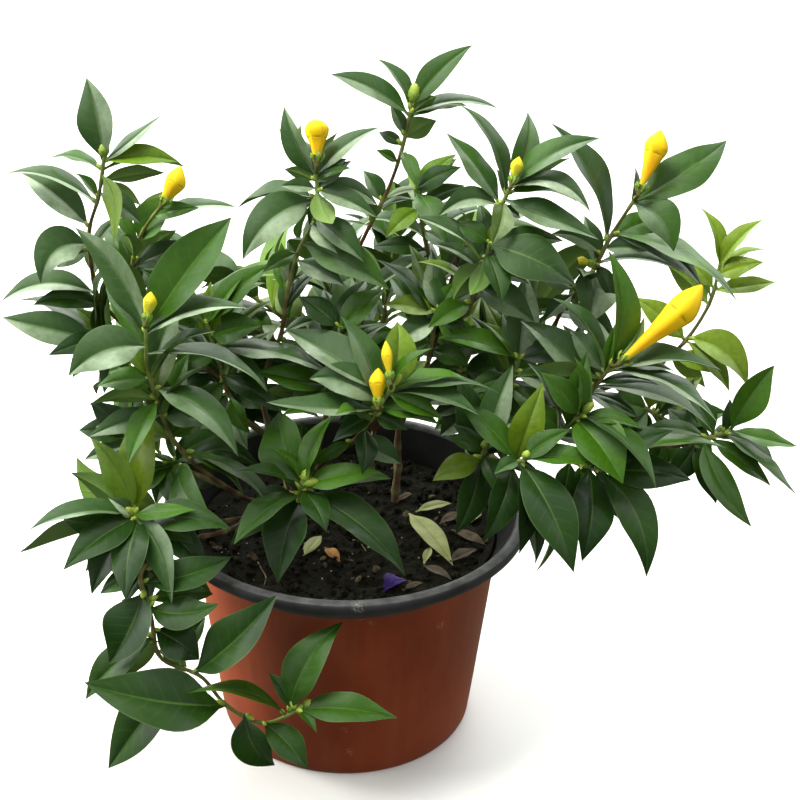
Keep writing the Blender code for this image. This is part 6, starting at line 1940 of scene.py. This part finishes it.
class Look(Nodes):
    """A procedural material. A grain is its scale a metre, its detail and, where it has one, its stretch."""

    def __init__(self, name, **sockets):
        self.material = bpy.data.materials.new(name)
        self.material.use_nodes = True
        super().__init__(self.material.node_tree)
        self.shader = self.tree.nodes["Principled BSDF"]
        for socket, value in sockets.items():
            self.shader.inputs[socket.replace("_", " ")].default_value = value
        self.where = self.add("TexCoord", "Object")

    def noise(self, scale, detail, stretch=None):
        where = self.where
        if stretch:
            where = self.add("Mapping", 0, {"Vector": where, "Scale": stretch})
        return self.add("TexNoise", 0, {"Vector": where, "Scale": scale, "Detail": detail})

    def specks(self, scale, size, share):
        """Round specks, with the share of them that shows."""
        cells = self.add("TexVoronoi", 0, {"Vector": self.where, "Scale": scale})
        return self.fit(cells, 0.0, size, share, 0.0)

    def mix(self, share, a, b):
        return self.add("Mix", 2, {0: share, 6: colour(a), 7: colour(b)}, data_type="RGBA")

    def mark(self, name, part=None):
        """A point mark of the mesh, or one part of a mark that has three."""
        if part is None:
            return self.add("Attribute", "Fac", attribute_name=name)
        vector = self.add("Attribute", "Vector", attribute_name=name)
        return self.add("SeparateXYZ", part, {0: vector})

    def finish(self, shade, gloss, height, surface, usual=USUAL_GRAIN):
        """Sets the colour, the roughness by a grain and the small relief, and gives the material."""
        least, most, depth, strength = surface
        self.give(self.shader.inputs["Base Color"], shade)
        self.give(self.shader.inputs["Roughness"], self.fit(gloss, *usual, least, most))
        normal = self.add("Bump", 0, {"Height": height, "Distance": depth, "Strength": strength})
        self.give(self.shader.inputs["Normal"], normal)
        return self.material


def leaf_veins(look, across, up, width):
    """Side veins that run from the midrib toward the edge and the tip."""
    phase = look.math("SUBTRACT", look.times(up, LEAF_VEINS), look.times(across, VEIN_SLANT))
    veins = look.fit(look.math("PINGPONG", phase, 0.5), 0.0, width, 1.0, 0.0)
    return look.times(veins, look.fit(across, *VEIN_FADE))


def leaf_top_look():
    look = Look("leaf_top", Specular_IOR_Level=0.55)
    across = look.math("ABSOLUTE", look.mark("place", 0))
    up = look.mark("place", 1)
    mottle = look.noise(*LEAF_MOTTLE)
    # Painted light and shade: the light mark, clouded a little, makes the green lighter or darker
    light = look.plus(look.mark("place", 2), look.spread(look.noise(*LEAF_CLOUDS), *CLOUDY_LIGHT))
    # Painted sheen: a pale patchy colour on the leaf's front half, over a cooler green, standing in for
    # reflected sky
    pale = look.fit(light, *SHEEN_LIGHTS)
    sheen_half = look.fit(look.mark("place", 0), *FRONT_HALF_SHEEN)
    patchy = look.fit(look.noise(*LEAF_SHEEN_GRAIN), *SHEEN_PATCHES)
    # The painted light sets the green between deep and mid
    fresh = look.fit(look.math("SUBTRACT", light, look.times(pale, 2)), 0.0, 1.0)
    green = look.mix(fresh, LEAF_DEEP, LEAF_MID)
    green = look.mix(look.fit(pale, *COOL_UNDER_SHEEN), green, LEAF_COOL)
    green = look.mix(look.times(look.times(pale, sheen_half), patchy), green, LEAF_PAINTED_SHEEN)
    # Lime for young leaves, and painted light shining through some inner ones
    green = look.mix(look.mark("tone"), green, LEAF_LIME)
    green = look.mix(look.fit(mottle, *TOP_MOTTLES), green, LEAF_DEEP)
    veins = leaf_veins(look, across, up, TOP_VEIN_WIDTH)
    green = look.mix(look.times(veins, TOP_VEINS_SHOW), green, LEAF_VEIN)
    rib = look.fit(across, *TOP_RIB)
    green = look.mix(look.times(rib, look.fit(up, *TOP_RIB_FADE)), green, LEAF_VEIN)
    # The margin's own paler colour, with a painted rim highlight
    green = look.mix(look.fit(across, *TOP_MARGIN_AND_RIM_LIGHT), green, LEAF_MARGIN_AND_RIM_LIGHT)
    green = look.mix(look.fit(up, *TOP_TIP), green, LEAF_TIP)
    height = look.math("SUBTRACT", look.times(mottle, MOTTLE_RELIEF), look.times(veins, VEIN_RELIEF))
    height = look.plus(height, look.times(look.noise(*LEAF_QUILT), QUILT_RELIEF))
    return look.finish(green, look.noise(*LEAF_GLOSS), height, LEAF_SURFACE)


def leaf_under_look():
    look = Look("leaf_under", Specular_IOR_Level=0.4)
    across = look.math("ABSOLUTE", look.mark("place", 0))
    up = look.mark("place", 1)
    pale = look.mix(look.spread(look.noise(*UNDER_CLOUDS)), UNDER_DEEP, UNDER_PALE)
    # Lime for young leaves, and painted light shining through some inner ones
    pale = look.mix(look.times(look.mark("tone"), UNDER_LIME_SHOWS), pale, UNDER_LIME)
    veins = leaf_veins(look, across, up, UNDER_VEIN_WIDTH)
    pale = look.mix(look.times(veins, UNDER_VEINS_SHOW), pale, LEAF_VEIN)
    rib = look.fit(across, *UNDER_RIB)
    pale = look.mix(look.times(rib, UNDER_RIB_SHOWS), pale, LEAF_VEIN)
    height = look.plus(veins, look.noise(*UNDER_GRAIN))
    return look.finish(pale, look.noise(*UNDER_GLOSS), height, UNDER_SURFACE)


def twig_look():
    look = Look("twig", Specular_IOR_Level=0.4)
    grain = look.noise(*BARK_GRAIN)
    bark = look.ramp(look.mark("tone"), TWIG_COLOURS)
    brown = look.mix(look.fit(grain, *BARK_DARKS), bark, TWIG_DARK)
    shade = look.mix(look.times(look.mark("place", 0), KNOTS_SHOW), brown, TWIG_KNOT)
    return look.finish(shade, grain, grain, TWIG_SURFACE)


def bud_look():
    look = Look("bud_green", Specular_IOR_Level=0.45)
    green = look.mix(look.fit(look.mark("place", 1), *BUD_FADE), BUD_LOW, BUD_HIGH)
    # Painted shade: darker in the sunken band where each scale meets the raised edge of the next
    green = look.mix(look.fit(look.mark("place", 0), *SHADE_UNDER_SCALES), green, BUD_PAINTED_SHADE)
    green = look.mix(look.fit(look.noise(*BUD_MOTTLE), *BUD_MOTTLES), green, BUD_LOW)
    return look.finish(green, look.noise(*BUD_GLOSS), look.noise(*BUD_GRAIN), BUD_SURFACE)


def petal_look():
    look = Look("petal", Specular_IOR_Level=0.35)
    up = look.mark("place", 1)
    unripe = look.mark("place", 2)
    warm = look.fit(up, *WARM_FOOT)
    warm = look.times(warm, look.fit(look.noise(*PETAL_CLOUDS), *WARM_CLOUDS))
    warm = look.times(warm, look.fit(unripe, *WARM_RIPE))
    yellow = look.mix(warm, PETAL_YELLOW, PETAL_WARM)
    yellow = look.mix(look.fit(up, *GREEN_FOOT), yellow, PETAL_FOOT)
    yellow = look.mix(look.times(unripe, look.fit(up, *GREEN_UNRIPE)), yellow, PETAL_FOOT)
    yellow = look.mix(look.times(look.mark("tone"), PETAL_EDGE_SHOWS), yellow, PETAL_EDGE)
    crease = look.times(look.mark("place", 0), look.fit(unripe, *CREASE_RIPE))
    yellow = look.mix(crease, yellow, PETAL_MARK)
    streaks = look.noise(*PETAL_STREAKS)
    return look.finish(yellow, streaks, streaks, PETAL_SURFACE)


def near_point(look, spot, reach):
    """How near a place on the surface is to a point: 1 at it, 0 beyond its reach."""
    distance = look.add("VectorMath", "Value", {0: look.where, 1: spot}, operation="DISTANCE")
    return look.fit(distance, SPOT_CORE * reach, reach, 1.0, 0.0)


def pot_wall_look():
    look = Look("pot_wall", Specular_IOR_Level=0.32)
    cloudy = look.noise(*WALL_CLOUDS)
    streaks = look.noise(*WALL_STREAKS)
    red = look.mix(look.spread(cloudy), POT_DEEP, POT_RED)
    red = look.mix(look.fit(streaks, *DUSTY_STREAKS), red, POT_DUST)
    red = look.mix(look.specks(*WALL_SPECKS), red, POT_DUST)
    for spot, reach in SCUFFS:
        patchy = look.fit(look.noise(*SCUFF_GRAIN), *SCUFF_PATCHES)
        rubbed = look.times(near_point(look, wall_point(*spot), reach * MM), patchy)
        red = look.mix(look.times(rubbed, SCUFFS_SHOW), red, POT_SCUFF)
    height = look.plus(look.noise(*WALL_GRAIN), look.times(streaks, STREAK_RELIEF))
    return look.finish(red, look.plus(cloudy, streaks), height, WALL_SURFACE, USUAL_SUM)


def pot_lip_look():
    look = Look("pot_lip", Specular_IOR_Level=0.5)
    height = look.add("SeparateXYZ", 2, {0: look.where})
    # Lighter grey along the crest: painted light on the lip's top face, broken into patches like wear
    rubbed = look.times(look.fit(height, *LIP_CREST), look.fit(look.noise(*LIP_CREST_GRAIN), *LIP_CREST_LIGHT_AND_RUBS))
    grey = look.mix(look.spread(look.noise(*LIP_CLOUDS)), LIP_DARK, LIP_GREY)
    grey = look.mix(look.times(rubbed, LIP_LIGHT_AND_WEAR_SHOWS), grey, LIP_WORN_AND_LIT)
    grey = look.mix(look.specks(*LIP_SPECKS), grey, LIP_WORN_AND_LIT)
    patchy = look.fit(look.noise(*CHALK_GRAIN), *CHALK_PATCHES)
    chalk = look.times(near_point(look, LIP_SCUFF, LIP_SCUFF_REACH), patchy)
    grey = look.mix(chalk, grey, LIP_CHALK)
    return look.finish(grey, look.noise(*LIP_GLOSS), look.noise(*LIP_GRAIN), LIP_SURFACE)


def plain_look(name, low, high, scale, rough, depth, speckle=None):
    """A rough natural surface with two shades, grain and, if named, specks of a third."""
    look = Look(name, Specular_IOR_Level=0.3)
    shade = look.mix(look.fit(look.noise(scale, 5), *PLAIN_SHADES), low, high)
    if speckle:
        shade = look.mix(look.specks(scale * 3, *PLAIN_SPECKS), shade, speckle)
    surface = (rough - PLAIN_UNEVEN, rough + PLAIN_UNEVEN, depth, PLAIN_STRENGTH)
    return look.finish(shade, look.noise(scale * 2, 3), look.noise(scale * 4, 5), surface)


def stage_look(name, scale, glow):
    look = Look(name, Specular_IOR_Level=0.1, Roughness=0.9, Emission_Strength=glow)
    look.give(look.shader.inputs["Base Color"], look.mix(look.noise(scale, 2), FLOOR_SHADE, FLOOR_LIGHT))
    return look.material


def wall_point(u, v):
    """The point of the pot's outer wall that is seen at a pixel."""
    way = ray(u, v)
    low, high = WALL_FOOT, WALL_TOP
    slope = (high[0] - low[0]) / (high[1] - low[1])
    share = 0.0
    for _ in range(WALL_TRIES):
        spot = EYE + way * share
        radius = (low[0] + slope * (spot.z / MM - low[1])) * MM
        across = way.x ** 2 + way.y ** 2
        half = EYE.x * way.x + EYE.y * way.y
        rest = EYE.x ** 2 + EYE.y ** 2 - radius ** 2
        share = (-half - math.sqrt(max(0.0, half ** 2 - across * rest))) / across
    return EYE + way * share


def spin_outline(build, outline, steps, finish_of):
    """A solid of revolution from an outline that starts and ends on the axis."""
    rings = []
    for row in outline[1:-1]:
        rings.append([build.point(spot) for spot in level_ring(*row, steps)])
    for index, pair in enumerate(zip(rings, rings[1:])):
        build.band(pair, finish_of(index))
    build.cap(rings[0], (0, 0, outline[0][1] * MM), finish_of(0))
    build.cap(rings[-1], (0, 0, outline[-1][1] * MM), finish_of(len(rings)))


def pot_finish(row):
    """Which of the pot's looks a row of its outline has: 0 for the wall, 1 for the lip, 2 for the inside."""
    if row < POT_LIP_ROWS[0]:
        return 2
    return 1 if row < POT_LIP_ROWS[1] else 0


def pot_piece(looks):
    build = Build()
    spin_outline(build, POT_FINE, POT_FINE_STEPS, pot_finish)
    pot = build.piece("pot_shell", looks)
    drains = Build()
    through = Vector((0, 0, 2 * FLOOR_THICKNESS))
    for angle in around(DRAIN_HOLES):
        middle = Vector((math.cos(angle), math.sin(angle), 0)) * DRAIN_RING
        ends = [middle - through, middle + through]
        add_tube(drains, ends, [DRAIN_RADIUS] * 2, [(0, 0, 0)] * 2, 0, DRAIN_SIDES)
    cutter = drains.piece("drain_cutter", [])
    cut = pot.modifiers.new("Drain", "BOOLEAN")
    cut.operation = "DIFFERENCE"
    cut.solver = "EXACT"
    cut.object = cutter
    graph = bpy.context.evaluated_depsgraph_get()
    mesh = bpy.data.meshes.new_from_object(pot.evaluated_get(graph))
    pot.modifiers.clear()
    pot.data = mesh
    bpy.data.objects.remove(cutter)
    return pot


def soil_height(x, y):
    """How high the soil's surface lies, in metres, with lumps of three sizes that fade toward the pot."""
    spot = Vector((x, y, 0))
    lumps = sum(noise.noise(spot * scale) * height for scale, height in SOIL_LUMPS)
    fade = min(1, max(0, (SOIL_EDGE - math.hypot(x, y)) / SOIL_FADE))
    return SOIL_TOP + (SOIL_LIFT + lumps * fade) * MM


def pebble(build, middle, size, chance, finish, flat):
    """A small uneven lump."""
    work = bmesh.new()
    bmesh.ops.create_icosphere(work, subdivisions=1, radius=1)
    turn = [chance.uniform(0, math.tau) for _ in range(3)]
    if flat < 1:
        turn = [chance.uniform(*FLAT_TILT), chance.uniform(*FLAT_TILT), chance.uniform(0, math.tau)]
    matrix = Euler(turn).to_matrix()
    first = len(build.verts)
    stretch = Vector((1, chance.uniform(*PEBBLE_WIDTH), flat * chance.uniform(*PEBBLE_HEIGHT)))
    for vert in work.verts:
        shape = Vector([a * b for a, b in zip(vert.co, stretch)]) * (size * chance.uniform(*PEBBLE_UNEVEN))
        build.point(middle + matrix @ shape)
    for face in work.faces:
        build.face([first + vert.index for vert in face.verts], finish)
    work.free()


def soil_piece(looks):
    build = Build()
    chance = random.Random(SEED + 1)
    rings = []
    for row in range(1, SOIL_ROWS + 1):
        radius = SOIL_EDGE * row / SOIL_ROWS
        spots = [(radius * math.cos(angle), radius * math.sin(angle)) for angle in around(SOIL_STEPS)]
        rings.append([build.point((x, y, soil_height(x, y))) for x, y in spots])
    for row in SOIL_OUTLINE[2:-1]:
        rings.append([build.point(spot) for spot in level_ring(*row, SOIL_STEPS)])
    build.band(rings)
    build.cap(rings[0], (0, 0, soil_height(0, 0)))
    build.cap(rings[-1], (0, 0, SOIL_OUTLINE[-1][1] * MM))
    for count, least, most, finish, flat in SOIL_BITS:
        for _ in range(count):
            radius = SOIL_EDGE * BITS_REACH * math.sqrt(chance.random())
            angle = chance.uniform(0, math.tau)
            size = chance.uniform(least, most) * MM
            x, y = radius * math.cos(angle), radius * math.sin(angle)
            pebble(build, Vector((x, y, soil_height(x, y) + size * PEBBLE_RISE)), size, chance, finish, flat)
    for row in ROOTLETS:
        points = []
        for u, v in row:
            way = ray(u, v)
            spot = EYE + way * ((SOIL_TOP - EYE.z) / way.z)
            spot.z = soil_height(spot.x, spot.y) + ROOTLET_LIFT
            points.append(spot)
        curve = curve_through(points, ROOTLET_STEP)
        add_tube(build, curve, taper(curve, *ROOTLET_RADII), [(0, 0, 0)] * len(curve), 3, ROOTLET_SIDES)
    return build.piece("soil_surface", looks)


def litter_piece(name, blade, looks, seed):
    """A fallen leaf or petal lying on the soil, with the scraps of its colour."""
    build = Build()
    add_leaf(build, Leaf(blade, 0.0, LITTER_LIGHT, seed))
    for index, row in enumerate(SCRAPS):
        if row[0] == name:
            add_leaf(build, Leaf(litter_blade(*row[1:]), 0.0, LITTER_LIGHT, seed + index))
    if name == "violet_petal":
        up = Vector((0, 0, 1))
        chord = blade.tip - blade.root
        side = chord.cross(up).normalized() * PETAL_SIZE
        spot = blade.root.lerp(blade.tip, PETAL_FROM)
        for way in PETAL_WAYS:
            lobe = Blade(spot, spot + side * way + chord * PETAL_OVER, up, PETAL_SIZE, up * PETAL_SIZE / 2)
            add_leaf(build, Leaf(lobe, 0.0, LITTER_LIGHT, seed + 1 + way))
    return build.piece(name + "_fine", looks)


def add_light(name, where, size, power, tint):
    lamp = bpy.data.lights.new(name, "AREA")
    lamp.shape = "DISK"
    lamp.size = size
    lamp.energy = power
    lamp.color = tint
    obj = bpy.data.objects.new(name, lamp)
    obj.location = where
    obj.visible_glossy = False
    obj.rotation_euler = (LIT_SPOT - Vector(where)).to_track_quat("-Z", "Y").to_euler()
    bpy.context.scene.collection.objects.link(obj)


def sky():
    """A soft world that is brighter above and on one side."""
    world = bpy.data.worlds.new("studio")
    world.use_nodes = True
    bpy.context.scene.world = world
    nodes = Nodes(world.node_tree)
    way = nodes.add("TexCoord", "Generated")
    height = nodes.add("SeparateXYZ", 2, {0: way})
    toward = nodes.add("VectorMath", "Value", {0: way, 1: WORLD_BRIGHT_WAY}, operation="DOT_PRODUCT")
    background = nodes.tree.nodes["Background"]
    nodes.give(background.inputs[0], nodes.ramp(height, WORLD_STOPS))
    nodes.give(background.inputs[1], nodes.fit(toward, -WORLD_TURN, WORLD_TURN, *WORLD_SIDES))


def stage(build, name, grain, glow, shadow):
    """A part of the studio, which lights nothing and shows in no reflection."""
    obj = build.piece(name, [stage_look(name, grain, glow)])
    obj.visible_diffuse = False
    obj.visible_glossy = False
    obj.visible_shadow = shadow


def studio():
    """A pale floor with a round backdrop, soft lights and the camera."""
    scene = bpy.context.scene
    scene.view_settings.view_transform = "Standard"
    sky()
    for row in LIGHTS:
        add_light(*row)
    floor = Build()
    corners = ((-1, -1), (1, -1), (1, 1), (-1, 1))
    floor.face([floor.point((x * FLOOR_REACH, y * FLOOR_REACH, 0)) for x, y in corners])
    stage(floor, "floor", grain=6, glow=0.0, shadow=True)
    wall = Build()
    rings = []
    for height in (0, BACKDROP_HEIGHT):
        rings.append([wall.point((math.cos(turn) * FLOOR_REACH, math.sin(turn) * FLOOR_REACH, height))
                      for turn in around(BACKDROP_STEPS)])
    wall.band(rings)
    stage(wall, "backdrop", grain=2, glow=1.0, shadow=False)
    camera = bpy.data.cameras.new("camera")
    camera.sensor_width = SENSOR
    camera.lens = SENSOR * FOCAL_PX / (2 * MIDDLE_PX)
    view = bpy.data.objects.new("camera", camera)
    turn = Matrix((RIGHT, UPWARD, -AHEAD)).transposed()
    view.matrix_world = Matrix.Translation(EYE) @ turn.to_4x4()
    scene.collection.objects.link(view)
    scene.camera = view


def settle(piece, node, slot):
    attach(piece, "root")
    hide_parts(node)


def dress():
    """Makes every piece and sets it in the place of its node."""
    leaf_looks = [leaf_top_look(), leaf_under_look(), twig_look(), bud_look()]
    petal = petal_look()
    litter = [(name, litter_blade(*row)) for name, *row in LITTER]
    obstacles = [("pot", lathed(POT_OUTLINE)), ("soil", lathed(SOIL_OUTLINE))]
    obstacles += [(name, blade_solid(blade)) for name, blade in litter]
    growths, stems = layout(obstacles)
    for name, growth in growths.items():
        piece = shoot_piece(name, growth, stems.get(name), leaf_looks)
        settle(piece, name, SLOTS.get(name, "leaf_green"))
        for row, index in growth.buds:
            if row[5] != "green":
                _, foot, tip, radius = bud_axis(stems[name], row)
                flower = f"{name}_flower_{index + 1}"
                bloom = bloom_build(foot, tip, radius, index + len(name), BLOOMS.get(flower, POINTED))
                settle(bloom.piece(flower + "_fine", [petal]), flower, "petal_yellow")
    pot_looks = [pot_wall_look(), pot_lip_look(), plain_look(*INSIDE_LOOK)]
    settle(pot_piece(pot_looks), "pot", "pot_red")
    settle(soil_piece([plain_look(*row) for row in SOIL_LOOKS]), "soil", "soil_dark")
    for index, ((name, blade), (slot, *row)) in enumerate(zip(litter, LITTER_LOOKS)):
        material = plain_look(*row)
        settle(litter_piece(name, blade, [material, material], index + LITTER_SEED), name, slot)


studio()
dress()
